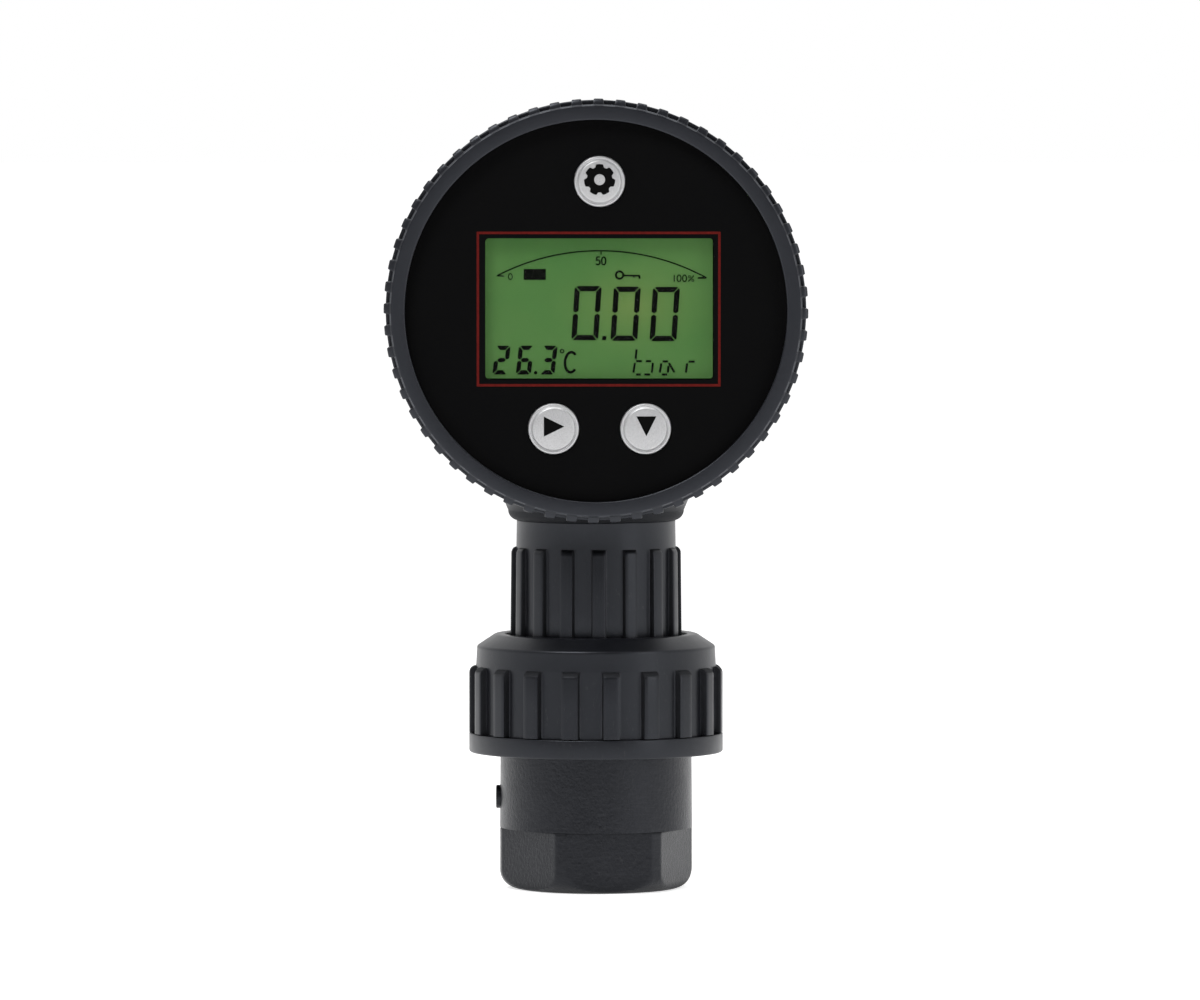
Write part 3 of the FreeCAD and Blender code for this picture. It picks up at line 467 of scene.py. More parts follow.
def lathe(name, section, material, spin, shape=None, frame_map=None, crease=35, tallest=0.0,
          shade=painted_flank_shade):
    """Sweep a closed section round the Z axis.

    section holds (radius, along, relief) and may add a painted shade, stored on the point
    (below 0: a painted highlight). spin holds (angle, height) for one full turn: the height times
    a point's relief is added to its radius. shape may bend the radius further. With tallest, the
    height of the raised ribs, shade gives the painted shade across a rib, a given painted shade
    falls on the ribs and a given painted highlight in the gaps between them.
    """
    bm = bmesh.new()
    # each point holds its painted shade, or a painted highlight below 0
    painted_light = bm.verts.layers.float.new("painted_light")
    rings = []
    for angle, height in spin:
        ring = []
        share = height / tallest if tallest else 0.0
        for r, along, relief, *darkness in section:
            radius = r + relief * height
            if shape:
                radius = shape(angle, radius, along)
            vert = bm.verts.new((radius * cos(angle), radius * sin(angle), along))
            dark = sum(darkness)
            if tallest:
                dark *= share if dark > 0 else 1 - share
                dark += shade(share) * min(1.0, relief * 2)
            vert[painted_light] = min(1.0, dark)
            ring.append(vert)
        rings.append(ring)
    for one, other in zip(rings, rings[1:] + rings[:1]):
        for k in range(len(section)):
            j = (k + 1) % len(section)
            bm.faces.new((one[k], other[k], other[j], one[j]))
    return finish_mesh(name, bm, material, crease, frame_map)


def plain_turn(columns):
    """Angles round a plain ring, for lathe's spin."""
    return [(2 * pi * k / columns, 0.0) for k in range(columns)]


def ribbed_turn(count, radius, width, height, edge, first, floor_steps, top_steps):
    """Angles and heights round a ring of raised ribs with rounded edges, for lathe's spin.

    first is the first rib's angle; floor_steps and top_steps divide the floor and a rib's top.
    """
    pitch = 2 * pi / count
    half = width / 2
    floor = pitch * radius / 2 - half - edge
    outline = [(-pitch * radius / 2 + floor * k / floor_steps, 0.0) for k in range(floor_steps)]
    flank = [(-half - edge, 0.0), (-half - edge * 0.35, 0.06), (-half - edge * 0.1, 0.22),
             (-half, 0.5), (-half + height * 0.06, 0.78), (-half + edge * 0.45, 0.94),
             (-half + edge, 1.0)]
    outline += flank
    for k in range(1, top_steps):
        outline.append((-(half - edge) + 2 * (half - edge) * k / top_steps, 1.0))
    outline += [(-x, level) for x, level in reversed(flank)]
    outline += [(half + edge + floor * k / floor_steps, 0.0) for k in range(1, floor_steps)]
    spin = []
    for number in range(count):
        centre = first + number * pitch
        spin += [(centre + x / radius, level * height) for x, level in outline]
    return spin


def bridge(bm, rings):
    """Faces between each ring of points and the next."""
    for one, other in zip(rings, rings[1:]):
        for k in range(len(one)):
            j = (k + 1) % len(one)
            bm.faces.new((one[k], one[j], other[j], other[k]))


def arc_steps(start, end, count):
    """Evenly spaced values from start to end, both included."""
    return [start + (end - start) * k / count for k in range(count + 1)]


def oval(x, y, wide, tall, steps):
    """Points round an oval with its middle at x, y and half axes wide and tall."""
    return [(x + wide * cos(2 * pi * k / steps), y + tall * sin(2 * pi * k / steps))
            for k in range(steps)]


# ---------------- bezel ring

TOOTH_COUNT = 60
TOOTH_HEIGHT = 1.2 * MM
TOOTH_WIDTH = 2.15 * MM
TOOTH_EDGE = 0.3 * MM
TOOTH_FIRST = radians(5.3)
# distance behind the teeth's front end, in tooth heights, and the share of the height there
TOOTH_FRONT = ((0.6, 1.0), (0.36, 0.95), (0.18, 0.78), (0.06, 0.42), (0.0, 0.0))
# painted highlight on the ring's front corner in the gaps between the teeth, at the teeth's front
# end and round the outer front edge
HIGHLIGHT_AT_TEETH = -0.6
HIGHLIGHT_AT_FRONT = -1.0


def bezel_ring():
    """Knurled ring: smooth front, sixty rounded teeth, flange behind them, lip over the panel."""
    tip = (bezel_high.x - bezel_low.x) / 2
    core = tip - TOOTH_HEIGHT
    front, back = -bezel_low.y, -bezel_high.y
    opening = core - 3.2 * MM
    bore = core - 1.9 * MM
    lip_back = front - 2.0 * MM
    flange_front = back + 2.0 * MM
    flange_tip = tip - 0.25 * MM
    teeth_middle = back + 4.5 * MM
    teeth_front = front - 0.9 * MM
    highlight_from = core - 0.3 * MM
    behind = soften([
        (bore, back, 0, 0.2),
        (flange_tip, back, 0, 0.45),
        (flange_tip, flange_front, 0, 0.35),
        (core, flange_front, 0, 0.15),
    ])
    teeth = [
        (core, flange_front + 0.06 * MM, 0.4),
        (core, flange_front + 0.12 * MM, 1.0),
        (core, teeth_middle, 1.0),
    ] + [(core, teeth_front - TOOTH_HEIGHT * down, share) for down, share in TOOTH_FRONT]
    rim = soften([
        (core, front, 0, 0.6),
        (opening, front, 0, 0.3),
        (opening, lip_back, 0, 0.1),
        (bore, lip_back, 0, 0.1),
    ], 5)
    # a painted highlight on the ring's outer front corner, in the gaps between the teeth
    section = behind + teeth + [(core, teeth_front + 0.03 * MM, 0.0, HIGHLIGHT_AT_TEETH)] + [
        (r, along, relief, HIGHLIGHT_AT_FRONT if r > highlight_from else 0.0) for r, along, relief in rim]
    spin = ribbed_turn(TOOTH_COUNT, core, TOOTH_WIDTH, TOOTH_HEIGHT, TOOTH_EDGE, TOOTH_FIRST,
                       floor_steps=4, top_steps=2)
    # painted shade in the gaps between the teeth
    ring = lathe("bezel_ring_shaped", section, BEZEL, spin, frame_map=head_map,
                 tallest=TOOTH_HEIGHT, shade=painted_gap_shade)
    dress(ring, "bezel", "bezel_plastic", "bezel_ring")


# ---------------- union

BARREL = 20.1 * MM
SOCKET = 12.06 * MM
SOCKET_DEPTH = 16.5 * MM
SOCKET_MOUTH = 0.8 * MM
UNION_THREAD_LENGTH = 9.6 * MM
HEXAGON_TURN = radians(38.7)


def rib_ends(floor, top, height, share, darkness):
    """Section points that round the ribs' upper ends down to the floor, up to a last plain ring.

    share is the ribs' share of their full height there, and darkness gives the painted shade.
    """
    ends = [(floor, top - height * (1 - sin(a)), share * cos(a), darkness(sin(a)))
            for a in arc_steps(0, pi / 2, 6)]
    return ends + [(floor, top + 0.04 * MM, 0)]


def union_nut():
    """Ribbed nut: band at the foot, nineteen raised ribs, shoulder and conical top."""
    ribs, first_rib = 19, radians(-82.95)
    rib_height, rib_width, rib_edge = 1.45 * MM, 3.46 * MM, 0.28 * MM
    outer = (nut_high.x - nut_low.x) / 2
    floor = outer - rib_height
    foot, top = nut_low.z, nut_high.z
    rib_foot = foot + 4.0 * MM
    rib_top = rib_foot + 14.0 * MM
    cone_foot = top - 2.6 * MM
    cone_top = 21.0 * MM
    hole = 19.0 * MM
    ledge = top - 6.2 * MM
    bore = floor - 4.05 * MM
    mouth, mouth_top = bore + 0.6 * MM, foot + 3.0 * MM
    section = soften([
        (mouth, foot, 0, 0.3),
        (outer, foot, 0, 0.5),
        (outer, rib_foot, 0, 0.3),
        (floor, rib_foot, 0, 0.12),
    ]) + [
        (floor, rib_foot + 0.08 * MM, 0.5),
        (floor, rib_foot + 0.16 * MM, 1.0),
        (floor, (rib_foot + rib_top) / 2, 1.0),
    # painted shade on the ribs' rounded upper ends
    ] + rib_ends(floor, rib_top, rib_height, 1.0, lambda rise: 2 * rise) + soften([
        (floor - 0.12 * MM, cone_foot, 0, 0.5),
        (cone_top, top, 0, 0.45),
        (hole, top, 0, 0.35),
        (hole, ledge, 0, 0.1),
        (bore, ledge, 0, 0.1),
        (bore, mouth_top, 0, 0.2),
        (mouth, mouth_top, 0, 0.1),
    ])
    spin = ribbed_turn(ribs, floor, rib_width, rib_height, rib_edge, first_rib,
                       floor_steps=8, top_steps=4)
    nut = lathe("union_nut_shaped", section, PVC, spin, tallest=rib_height)
    dress(nut, "nut", "pvc", "union_nut")


def union_end():
    """Union end: collar, ribbed shank and plain neck, round inlet, seat and cup."""
    ribs, first_rib, taper = 16, radians(-88.0), 0.82
    rib_height, rib_width, rib_edge = 1.3 * MM, 2.8 * MM, 0.3 * MM
    collar = (end_high.x - end_low.x) / 2
    foot, top = end_low.z, end_high.z
    neck = 16.65 * MM
    collar_top = foot + 4.5 * MM
    rib_top = top - 5.6 * MM
    inlet, seat, cup = 7.0 * MM, 9.2 * MM, 10.0 * MM
    seat_floor, cup_floor = foot + 7.5 * MM, foot + 16.0 * MM
    section = soften([
        (inlet, foot, 0, 0.4),
        (collar, foot, 0, 0.4),
        (collar, collar_top, 0, 0.4),
        (neck, collar_top, 0, 0.1),
    ]) + [
        (neck, collar_top + 0.2 * MM, 1.0),
        (neck, (collar_top + rib_top) / 2, 0.91),
    # painted shade on the ribs' rounded upper ends
    ] + rib_ends(neck, rib_top, rib_height, taper, lambda rise: rise ** 2) + soften([
        (neck, top, 0, 0.3),
        (cup, top, 0, 0.2),
        (cup, cup_floor, 0, 0),
        (seat, seat_floor, 0, 0),
        (inlet, seat_floor, 0, 0),
    ])
    spin = ribbed_turn(ribs, neck, rib_width, rib_height, rib_edge, first_rib,
                       floor_steps=8, top_steps=4)
    shank = lathe("union_end_shaped", section, PVC, spin, tallest=rib_height)
    dress(shank, "transmitter", "pvc", "union_end")


def union_body():
    """Hexagon socket end with its barrel and the core of its union thread."""
    foot, top = base_low.z, base_high.z
    flats = 18.0 * MM
    corner = 20.15 * MM
    rounding = 4.0 * MM
    edge = 0.35 * MM
    hex_top = 12.75 * MM
    wall = SOCKET + 2 * MM
    passage = 10.0 * MM
    thread_foot = top - UNION_THREAD_LENGTH
    thread_core = 20.35 * MM
    socket_floor = foot + SOCKET_DEPTH

    def hexagon(angle, radius, along):
        if along > hex_top + CLOSE or radius <= wall:
            return radius
        across = (angle - HEXAGON_TURN + pi / 6 + 2 * pi) % (pi / 3) - pi / 6
        return min(radius, flats / cos(across))

    mouth = [(SOCKET, foot + SOCKET_MOUTH, 0), (SOCKET + 0.6 * MM, foot + 0.2 * MM, 0),
             (SOCKET + 1.0 * MM, foot, 0), (SOCKET + 1.6 * MM, foot, 0)]
    # painted shade on the lower rounding, darkest at the foot
    foot_arc = [(corner - rounding * (1 - sin(a)), foot + rounding * (1 - cos(a)), 0, 0.9 * cos(a))
                for a in arc_steps(0, pi / 2, 12)]
    # a painted shade line on the flats' top, under the barrel's ledge
    hexagon_top = [
        (corner, foot + 8.0 * MM, 0),
        (corner, hex_top - 2 * edge, 0),
        (corner, hex_top - edge, 0, 0.5),
        (corner - edge * 0.35, hex_top - edge * 0.3, 0, 0.9),
        (corner - edge, hex_top, 0, 1),
    ]
    section = mouth + foot_arc + hexagon_top + soften([
        (BARREL, hex_top + 0.001 * MM, 0, 0),
        (BARREL, hex_top + 0.3 * MM, 0, 0.2),
        (BARREL - 0.15 * MM, thread_foot, 0, 0.1),
        (thread_core, thread_foot + 0.6 * MM, 0, 0.1),
        (thread_core, top, 0, 0.5),
        (passage, top, 0, 0.3),
        (passage, socket_floor, 0, 0),
        (SOCKET, socket_floor, 0, 0),
    ])
    spin = [(HEXAGON_TURN + k * pi / 3 + step, 0.0)
            for k in range(6) for step in arc_steps(-pi / 6, pi / 6, 56)[:-1]]
    body = lathe("union_body_shaped", section, HEXAGON, spin, shape=hexagon, crease=28)
    dress(body, "union_base", "pvc", "union_body")


def gate_nub():
    """Small round gate mark that stands on the barrel's left side."""
    radius, up = 2.45 * MM, 19.0 * MM
    axis = 0.02 * MM
    sunk, stand = -0.8 * MM, 0.8 * MM
    section = soften([
        (axis, sunk, 0, 0),
        (radius, sunk, 0, 0),
        (radius, stand, 0, 0.3),
        (axis, stand * 0.92, 0, 0),
    ], 5)
    nub = lathe("gate_nub", section, HEXAGON, plain_turn(48),
                frame_map=lambda co: Vector((-BARREL - co.z, co.x, up + co.y)))
    dress(nub, "union_base", "pvc")


# the ridge's profile: place across in pitches, and height as a share of the depth
RIDGE = ((-0.46, -0.05), (-0.12, 1.0), (0.12, 1.0), (0.46, -0.05))
RIDGE_INSET = 0.3
RIDGE_FADE = 0.6
RIDGE_STEPS = 96


def helix(name, radius, depth, pitch, low, high, inward=False):
    """A screw thread's ridge that stands on a cylinder and fades out at both ends."""
    turns = (high - low) / pitch - 2 * RIDGE_INSET
    count = int(turns * RIDGE_STEPS)
    sign = -1 if inward else 1
    bm = bmesh.new()
    rows = []
    for k in range(count + 1):
        share = k / count
        level = min(1.0, share * turns / RIDGE_FADE, (1 - share) * turns / RIDGE_FADE)
        angle = 2 * pi * turns * share
        along = low + RIDGE_INSET * pitch + turns * pitch * share
        row = []
        for across, out in RIDGE:
            r = radius + sign * depth * (out * level if out > 0 else out)
            row.append(bm.verts.new((r * cos(angle), r * sin(angle), along + across * pitch)))
        rows.append(row)
    bridge(bm, rows)
    bm.faces.new(rows[0])
    bm.faces.new(reversed(rows[-1]))
    ridge = finish_mesh(name, bm, PVC, 40)
    dress(ridge, "union_base", "pvc")


def threads():
    """The ridges of the threads on the union and in the socket."""
    foot, top = base_low.z, base_high.z
    helix("union_thread", 20.3 * MM, 0.6 * MM, 2.309 * MM, top - UNION_THREAD_LENGTH, top)
    helix("socket_thread", SOCKET, 1.0 * MM, 1.814 * MM, foot + SOCKET_MOUTH, foot + SOCKET_DEPTH,
          inward=True)


# ---------------- face: frame line, display, keys

PANEL_FRONT = -panel_low.y
INK = 0.03 * MM
# levels of the display's signs, at the window's back
SIGNS_LOW = -window_high.y - 0.03 * MM
SIGNS_HIGH = -window_high.y + 0.04 * MM


def sheet_of(bm, outline, low, high):
    """Extrude a flat outline given in (right, up) between two levels."""
    lower = [bm.verts.new((x, y, low)) for x, y in outline]
    upper = [bm.verts.new((x, y, high)) for x, y in outline]
    bm.faces.new(list(reversed(lower)))
    bm.faces.new(upper)
    bridge(bm, [lower, upper])


def rectangle(width, height, rounding, steps=5):
    """Outline of a rectangle with rounded corners round the origin."""
    outline = []
    for sx, sy, start in ((1, -1, -pi / 2), (1, 1, 0), (-1, 1, pi / 2), (-1, -1, pi)):
        cx, cy = sx * (width / 2 - rounding), sy * (height / 2 - rounding)
        for a in arc_steps(start, start + pi / 2, steps):
            outline.append((cx + rounding * cos(a), cy + rounding * sin(a)))
    return outline


def loop_between(bm, outer, inner, low, high):
    """A closed band between two outlines with the same number of points."""
    rings = [[bm.verts.new((x, y, z)) for x, y in outline]
             for outline, z in ((outer, low), (outer, high), (inner, high), (inner, low))]
    bridge(bm, rings + rings[:1])


def red_frame():
    """Printed red line round the display."""
    wide, tall, line = 50.1 * MM, 31.8 * MM, 0.52 * MM
    left_by = 0.2 * MM
    bm = bmesh.new()
    loop_between(bm, rectangle(wide, tall, 0.12 * MM, 2),
                 rectangle(wide - 2 * line, tall - 2 * line, 0.05 * MM, 2),
                 PANEL_FRONT - INK, PANEL_FRONT + INK)
    piece = finish_mesh("display_frame_line", bm, RED_INK,
                        frame_map=head_map_at(LCD_RIGHT - left_by, LCD_UP))
    dress(piece, "transmitter", "panel_black")


def display_ground():
    """The lit display behind the window."""
    bm = bmesh.new()
    sheet_of(bm, rectangle(glass_high.x - glass_low.x, glass_high.z - glass_low.z, 0.4 * MM),
             -glass_high.y, -window_high.y - 0.05 * MM)
    ground = finish_mesh("lcd_ground", bm, LCD, frame_map=LCD_MAP)
    dress(ground, "transmitter", "lcd_glass", "lcd_glass")


def display_window():
    """The clear window, with a bevel round its front."""
    face = -window_low.y
    thickness = 0.9 * MM
    bm = bmesh.new()
    sheet_of(bm, rectangle(46.8 * MM, 28.8 * MM, 0.75 * MM), face - thickness, face)
    front_edges = [e for e in bm.edges if all(abs(v.co.z - face) < CLOSE for v in e.verts)]
    bmesh.ops.bevel(bm, geom=front_edges, offset=0.12 * MM, segments=2, affect="EDGES")
    window = finish_mesh("display_window_clear", bm, CLEAR, frame_map=LCD_MAP)
    dress(window, "transmitter", "window_clear", "display_window")


def display_mask():
    """The dark mask behind the window's edge; its opening sits a little high and left."""
    behind = -window_high.y
    left_by, up_by = 0.12 * MM, 0.1 * MM
    opening = [(x - left_by, y + up_by) for x, y in rectangle(46.75 * MM, 28.8 * MM, 0.6 * MM)]
    bm = bmesh.new()
    loop_between(bm, rectangle(49.4 * MM, 31.4 * MM, 0.8 * MM), opening,
                 behind - 0.03 * MM, behind + 0.08 * MM)
    mask = finish_mesh("display_mask", bm, MASK, frame_map=LCD_MAP)
    dress(mask, "transmitter", "panel_black")


def half_across(dx, dy, width):
    """Half of a line's width, at right angles to its direction."""
    length = hypot(dx, dy)
    return -dy / length * width / 2, dx / length * width / 2


class Ink:
    """Collects flat printed shapes at the display's level, in millimetres from its middle."""

    def __init__(self):
        self.bm = bmesh.new()

    def shape(self, outline):
        """A filled outline, taken anticlockwise."""
        area = sum(x0 * y1 - x1 * y0
                   for (x0, y0), (x1, y1) in zip(outline, outline[1:] + outline[:1]))
        points = outline if area > 0 else outline[::-1]
        sheet_of(self.bm, [(x * MM, y * MM) for x, y in points], SIGNS_LOW, SIGNS_HIGH)

    def stroke(self, start, end, width):
        """A straight line of even width."""
        (x0, y0), (x1, y1) = start, end
        nx, ny = half_across(x1 - x0, y1 - y0, width)
        self.shape([(x0 + nx, y0 + ny), (x0 - nx, y0 - ny), (x1 - nx, y1 - ny), (x1 + nx, y1 + ny)])

    def band(self, points, width):
        """A curved line of even width through points."""
        left, right = [], []
        for k, (x, y) in enumerate(points):
            x0, y0 = points[max(k - 1, 0)]
            x1, y1 = points[min(k + 1, len(points) - 1)]
            nx, ny = half_across(x1 - x0, y1 - y0, width)
            left.append((x + nx, y + ny))
            right.append((x - nx, y - ny))
        for k in range(len(points) - 1):
            self.shape([left[k], right[k], right[k + 1], left[k + 1]])

    def ring(self, points, width):
        """A closed line of even width through points."""
        self.band(points + points[:1], width)

    def piece(self, name, material):
        """Make one piece of the collected shapes."""
        made = finish_mesh(name, self.bm, material, frame_map=LCD_MAP)
        dress(made, "transmitter", "lcd_glass")


SEGMENTS = {"0": "abcdef", "2": "abged", "6": "acdefg", "3": "abgcd"}


def seven_segments(ink, digit, left, foot, width, height, thick, slant):
    """One digit of mitred bars, leaning to the right by slant."""
    gap, mitre = 0.1, thick * 0.62
    near, half, far = gap + 0.25 * thick, gap + 0.5 * thick, gap + thick

    def lean(points):
        return [(left + x + tan(slant) * y, foot + y) for x, y in points]

    def end_bar(y, outward):
        """The level bar at the top (outward 1) or at the bottom (-1)."""
        shoulder, inner = y - outward * 0.12 * thick, y - outward * thick
        return [(near, shoulder), (half, y), (width - half, y), (width - near, shoulder),
                (width - far, inner), (far, inner)]

    def middle_bar(y):
        tip, side = mitre + gap, thick / 2
        return [(tip, y), (tip + side, y + side), (width - tip - side, y + side),
                (width - tip, y), (width - tip - side, y - side), (tip + side, y - side)]

    def upright(outer, inner, y_end, y_mid):
        """A side bar from a corner to the middle, mitred at the corner, blunt at the middle."""
        up = 1 if y_end > y_mid else -1
        return [(outer, y_end - up * (gap + 0.35 * thick)),
                (outer + (inner - outer) * 0.22, y_end - up * (gap + 0.18 * thick)),
                (inner, y_end - up * (gap + thick)),
                (inner, y_mid + up * (gap + 0.35 * thick)),
                ((outer + inner) / 2, y_mid + up * gap),
                (outer, y_mid + up * (gap + 0.35 * thick))]

    middle = height / 2
    bars = {
        "a": end_bar(height, 1), "d": end_bar(0, -1), "g": middle_bar(middle),
        "f": upright(0, thick, height, middle), "b": upright(width, width - thick, height, middle),
        "e": upright(0, thick, 0, middle), "c": upright(width, width - thick, 0, middle),
    }
    for name in SEGMENTS[digit]:
        ink.shape(lean(bars[name]))


# width, height and bar's width of the digits, and places on the display, in millimetres
MAIN_SIZE = (5.55, 11.16, 1.1)
SMALL_SIZE = (3.12, 5.94, 0.9)
MAIN_DIGITS = ((-5.84, -6.45), (2.2, -6.58), (10.24, -6.64))
MAIN_POINT = [(0.5, -6.42), (1.32, -6.42), (1.44, -5.58), (0.58, -5.58)]
SMALL_DIGITS = (("2", -22.07), ("6", -17.25), ("3", -12.4))
SMALL_FOOT = -13.5
PLAIN_BLOCK = [(-15.6, 5.95), (-11.05, 5.95), (-11.05, 8.2), (-15.6, 8.2)]
SCALE_ARC = (Vector((-21.1, 6.8)), Vector((0.3, 11.95)), Vector((21.9, 6.42)))
UNIT_WIDTH = 0.44
UNIT_STROKES = (
    ((7.6, -8.3), (7.4, -10.35)), ((7.25, -11.1), (6.95, -13.1)),
    ((7.5, -10.75), (8.7, -10.75)), ((9.5, -10.75), (10.6, -10.75)),
    ((10.95, -11.1), (10.75, -13.1)), ((7.5, -13.5), (8.5, -13.5)),
    ((9.2, -13.5), (10.4, -13.5)), ((12.7, -11.2), (12.35, -13.1)),
    ((12.95, -10.8), (14.05, -10.8)), ((14.25, -11.15), (15.4, -13.05)),
    ((14.15, -11.75), (14.05, -13.1)), ((12.8, -13.5), (13.9, -13.5)),
    ((18.0, -11.2), (17.75, -13.1)), ((18.3, -10.85), (19.6, -10.85)),
)


def lcd_digits():
    """Main reading 0.00 and the small 26.3 with its degree sign and C."""
    ink = Ink()
    for left, foot in MAIN_DIGITS:
        seven_segments(ink, "0", left, foot, *MAIN_SIZE, radians(3.8))
    ink.shape(MAIN_POINT)
    for digit, left in SMALL_DIGITS:
        seven_segments(ink, digit, left, SMALL_FOOT, *SMALL_SIZE, radians(6.5))
    ink.shape(oval(-13.15, -13.12, 0.36, 0.36, 20))
    ink.ring(oval(-7.72, -8.7, 0.36, 0.36, 20), 0.24)
    letter = []
    for a in arc_steps(radians(46), radians(316), 28):
        rise = 2.07 * sin(a)
        letter.append((-5.88 + 1.24 * cos(a) + 0.05 * rise, -10.97 + rise))
    ink.band(letter, 0.56)
    ink.piece("lcd_readings", SEGMENT)


def lcd_scale():
    """Percent scale: arc with hooks and tick, numbers, plain block and key sign."""
    ink = Ink()
    left, apex, right = SCALE_ARC
    centre, radius = circle_through(left, apex, right)
    start, end = (atan2(p.y - centre.y, p.x - centre.x) for p in (left, right))
    ink.band([(centre.x + radius * cos(a), centre.y + radius * sin(a))
              for a in arc_steps(start, end, 72)], 0.28)
    ink.stroke((-21.15, 6.82), (-19.6, 6.74), 0.26)
    ink.stroke((22.0, 6.4), (20.2, 6.34), 0.36)
    ink.stroke((0.3, 11.95), (0.3, 11.15), 0.24)
    ink.shape(PLAIN_BLOCK)
    ink.ring(oval(4.1, 6.95, 0.76, 0.76, 28), 0.42)
    ink.stroke((4.95, 6.86), (8.2, 6.8), 0.34)
    ink.stroke((8.1, 6.95), (8.25, 6.2), 0.4)
    ink.stroke((7.05, 6.85), (7.05, 6.4), 0.36)
    plain_digits(ink, "50", -0.72, 9.05, 0.84, 1.6, thick=0.3, space=0.3)
    ink.piece("lcd_scale_lines", SEGMENT)

    fine = Ink()
    plain_digits(fine, "0", -18.75, 6.03, 0.8, 1.22, thick=0.2, space=0.28)
    plain_digits(fine, "100%", 15.35, 5.6, 0.8, 1.36, thick=0.25, space=0.34)
    fine.piece("lcd_scale_numbers", FAINT)


def circle_through(a, b, c):
    """Centre and radius of the circle through three points."""
    d = 2 * (a.x * (b.y - c.y) + b.x * (c.y - a.y) + c.x * (a.y - b.y))
    aa, bb, cc = a.length_squared, b.length_squared, c.length_squared
    x = (aa * (b.y - c.y) + bb * (c.y - a.y) + cc * (a.y - b.y)) / d
    y = (aa * (c.x - b.x) + bb * (a.x - c.x) + cc * (b.x - a.x)) / d
    centre = Vector((x, y))
    return centre, (a - centre).length


def plain_digits(ink, text, left, foot, width, height, thick, space):
    """Small scale numbers and the percent sign, drawn with even strokes."""
    def at(across, up):
        return left + width * across, foot + height * up

    for sign in text:
        if sign == "0":
            ink.ring(oval(*at(0.5, 0.5), width / 2, height / 2, 24), thick)
            left += width + space
        elif sign == "1":
            ink.stroke(at(0, 0), at(0, 1), thick)
            left += space * 1.7
        elif sign == "5":
            ink.stroke(at(0.9, 1), at(0.12, 1), thick)
            ink.stroke(at(0.16, 1), at(0.06, 0.52), thick)
            ink.band([at(0.42 + 0.5 * cos(a), 0.32 + 0.31 * sin(a))
                      for a in arc_steps(radians(140), radians(-150), 18)], thick)
            left += width + space
        elif sign == "%":
            ink.stroke(at(0, 0), at(1.5, 0.92), thick)
            for middle in (at(0.32, 0.74), at(1.22, 0.18)):
                ink.ring(oval(*middle, 0.22, 0.22, 12), thick * 0.7)


def lcd_unit():
    """The unit in thin broken segments."""
    ink = Ink()
    for start, end in UNIT_STROKES:
        ink.stroke(start, end, UNIT_WIDTH)
    ink.piece("lcd_unit_lines", SEGMENT)


# each key and the body that it rides on
KEYS = {"set": "set_key", "right": "right_key", "down": "down_key"}
# corners of the printed arrows, in millimetres from the key's middle
KEY_ARROWS = {
    "right": [(-2.0, -1.55), (2.2, 0.5), (-2.0, 2.55)],
    "down": [(0.15, -1.5), (2.2, 2.6), (-1.9, 2.6)],
}


def key_cap(name, body):
    """Round silver cap with a rim, a groove and a raised disc, and its printed sign."""
    low, high, mid = spot("button_" + name)
    place = head_map_at(mid.x, mid.z - HEAD_Z)
    radius = 5.2 * MM
    collar = (high.x - low.x) / 2
    axis, stem = 0.05 * MM, 2.5 * MM
    front, back = -low.y, -high.y
    collar_front = PANEL_FRONT - 2.5 * MM
    collar_back = collar_front - 0.8 * MM
    section = soften([
        (axis, back, 0, 0),
        (stem, back, 0, 0.1),
        (stem, collar_back, 0, 0.1),
        (collar, collar_back, 0, 0.2),
        (collar, collar_front, 0, 0.1),
        (radius, collar_front, 0, 0.05),
        (radius, front - 0.4 * MM, 0, 0.4),
        (radius - 0.48 * MM, front - 0.38 * MM, 0, 0.12),
        (radius - 0.6 * MM, front - 0.48 * MM, 0, 0.04),
        (radius - 0.98 * MM, front - 0.02 * MM, 0, 0.18),
        (axis, front, 0, 0),
    ], 5)
    cap = lathe("key_cap_" + name, section, SILVER, plain_turn(96), frame_map=place, crease=40)
    dress(cap, body, "button_silver", "button_" + name)

    bm = bmesh.new()
    ink_back, ink_front = front - 0.12 * MM, front + 0.02 * MM
    if name == "set":
        gear(bm, ink_back, ink_front)
    else:
        sheet_of(bm, [(x * MM, y * MM) for x, y in KEY_ARROWS[name]], ink_back, ink_front)
    sign = finish_mesh("key_sign_" + name, bm, BLACK_INK, frame_map=place)
    dress(sign, body, "button_silver")


def gear(bm, low, high):
    """Gear sign: seven broad rounded teeth round a ring with a round hole."""
    teeth, steps = 7, 140
    root, tip, hole, lift = 2.62 * MM, 3.2 * MM, 1.12 * MM, 0.36 * MM
    outer = []
    for k in range(steps):
        a = 2 * pi * k / steps
        wave = cos(teeth * (a - pi / 2))
        share = min(max((wave + 0.88) / 0.95, 0), 1)
        share = share * share * (3 - 2 * share)
        r = root + (tip - root) * share
        outer.append((r * cos(a), r * sin(a) + lift))
    loop_between(bm, outer, oval(0, lift, hole, hole, steps), low, high)


# ---------------- carried-over CAD nodes

def dress_cad_nodes():
    """Give every CAD node the material of its slot."""
    slots = {part["node"]: part["material_slot"] for part in frame["record"]["subparts"]}
    for name, node in frame["nodes"].items():
        node.data.materials.clear()
        node.data.materials.append(SLOT_MATERIAL[slots[name]])


# ---------------- stage, light, camera

FLOOR_SIZE = 40
FLOOR_DROP = 0.01 * MM
FLOOR_PALE = (0.86, 0.86, 0.86, 1)
FLOOR_GLOW = 0.7
WORLD_LIGHT = 0.6
WORLD_FRONT = 0.12
# where the world's light goes from dim to full, as the Y of the direction it comes from
WORLD_DIM_TO = -0.8
WORLD_FULL_FROM = 0.2
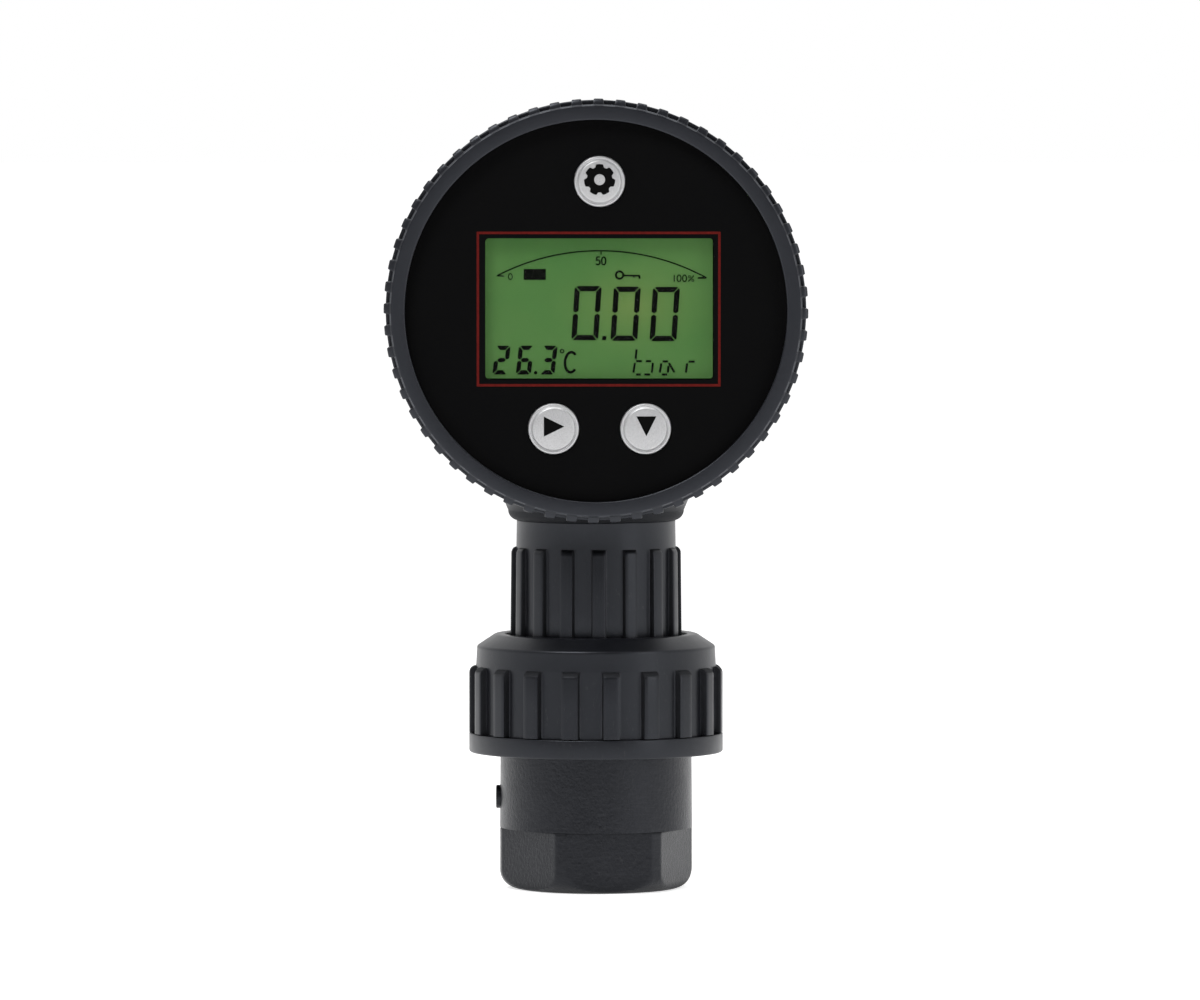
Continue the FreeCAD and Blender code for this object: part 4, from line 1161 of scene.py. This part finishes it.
# name, place, aim, size and watts
LIGHTS = (
    ("key", (-0.42, -0.65, 1.0), (0, 0, 0.09), (0.5, 0.5), 8.5),
    ("fill", (0.75, -0.6, 0.4), (0, 0, 0.08), (0.4, 0.7), 2.5),
    ("top", (0, -0.12, 0.95), (0, 0, 0.12), (0.8, 0.12), 2.2),
)
CAMERA_AWAY = 1.8
CAMERA_RISE = 0.158
CAMERA_AIM = Vector((0.00083, 0, 0.081))
CAMERA_LENS = 259
CAMERA_SENSOR = 36


def add_node(tree, kind, *sources):
    """Add a node and link the sources to its first inputs."""
    node = tree.nodes.new(kind)
    for source, target in zip(sources, node.inputs):
        tree.links.new(source, target)
    return node


def seen_ray(tree):
    """Socket that is 1 for what the camera, glossy surfaces and clear ones show."""
    path = tree.nodes.new("ShaderNodeLightPath")
    seen = path.outputs["Is Camera Ray"]
    for kind in ("Is Glossy Ray", "Is Transmission Ray"):
        either = add_node(tree, "ShaderNodeMath", seen, path.outputs[kind])
        either.operation = "MAXIMUM"
        seen = either.outputs[0]
    return seen


def stage():
    """Pale floor that reads white, with the object's shadow on it."""
    bm = bmesh.new()
    bmesh.ops.create_grid(bm, x_segments=1, y_segments=1, size=FLOOR_SIZE)
    material = bpy.data.materials.new("pale_floor")
    material.use_nodes = True
    tree = material.node_tree
    pale = tree.nodes["Principled BSDF"]
    set_inputs(pale, Base_Color=FLOOR_PALE, Roughness=0.9, Specular_IOR_Level=0.1)
    glow = tree.nodes.new("ShaderNodeEmission")
    set_inputs(glow, Strength=FLOOR_GLOW)
    lit = add_node(tree, "ShaderNodeAddShader", pale.outputs[0], glow.outputs[0])
    mixer = add_node(tree, "ShaderNodeMixShader", seen_ray(tree), pale.outputs[0], lit.outputs[0])
    tree.links.new(mixer.outputs[0], tree.nodes["Material Output"].inputs["Surface"])
    floor = finish_mesh("floor", bm, material)
    floor.location.z = -FLOOR_DROP


def world():
    """Studio: white to the camera; as a light, full at the sides and behind, dim in front."""
    made = bpy.data.worlds.new("studio")
    bpy.context.scene.world = made
    made.use_nodes = True
    tree = made.node_tree
    tree.nodes.clear()
    output = tree.nodes.new("ShaderNodeOutputWorld")
    path = tree.nodes.new("ShaderNodeLightPath")
    place = tree.nodes.new("ShaderNodeTexCoord")
    parts = add_node(tree, "ShaderNodeSeparateXYZ", place.outputs["Generated"])
    sweep = add_node(tree, "ShaderNodeMapRange", parts.outputs["Y"])
    sweep.interpolation_type = "SMOOTHSTEP"
    set_inputs(sweep, From_Min=WORLD_DIM_TO, From_Max=WORLD_FULL_FROM, To_Min=WORLD_FRONT)
    softer = add_node(tree, "ShaderNodeMath", sweep.outputs["Result"])
    softer.operation = "MULTIPLY"
    softer.inputs[1].default_value = WORLD_LIGHT

    def background(strength=None):
        """White, at full strength or at that of a socket."""
        made = tree.nodes.new("ShaderNodeBackground")
        set_inputs(made, Color=(1, 1, 1, 1))
        if strength:
            tree.links.new(strength, made.inputs["Strength"])
        return made.outputs[0]

    result = background(softer.outputs[0])
    mirrored, shown = background(sweep.outputs["Result"]), background()
    for ray, other in (("Is Glossy Ray", mirrored), ("Is Transmission Ray", shown),
                       ("Is Camera Ray", shown)):
        mixer = add_node(tree, "ShaderNodeMixShader", path.outputs[ray], result, other)
        result = mixer.outputs[0]
    tree.links.new(result, output.inputs["Surface"])


def area_light(name, place, aim, size, power):
    """A rectangular lamp at a place, turned to what it lights."""
    data = bpy.data.lights.new(name, "AREA")
    data.shape = "RECTANGLE"
    data.size, data.size_y = size
    data.energy = power
    lamp = bpy.data.objects.new(name, data)
    lamp.location = place
    lamp.rotation_euler = (Vector(aim) - Vector(place)).to_track_quat("-Z", "Y").to_euler()
    bpy.context.scene.collection.objects.link(lamp)


def camera():
    """The photo's view: from the front, looking slightly down."""
    data = bpy.data.cameras.new("camera")
    data.lens = CAMERA_LENS
    data.sensor_width = CAMERA_SENSOR
    eye = bpy.data.objects.new("camera", data)
    eye.location = (CAMERA_AIM.x, -CAMERA_AWAY, CAMERA_RISE)
    eye.rotation_euler = (CAMERA_AIM - eye.location).to_track_quat("-Z", "Y").to_euler()
    bpy.context.scene.collection.objects.link(eye)
    bpy.context.scene.camera = eye


camera()
stage()
world()
for light in LIGHTS:
    area_light(*light)
dress_cad_nodes()
bezel_ring()
union_nut()
union_end()
union_body()
gate_nub()
threads()
red_frame()
display_ground()
display_window()
display_mask()
lcd_digits()
lcd_scale()
lcd_unit()
for key, key_body in KEYS.items():
    key_cap(key, key_body)
bpy.context.scene.view_settings.view_transform = "Standard"
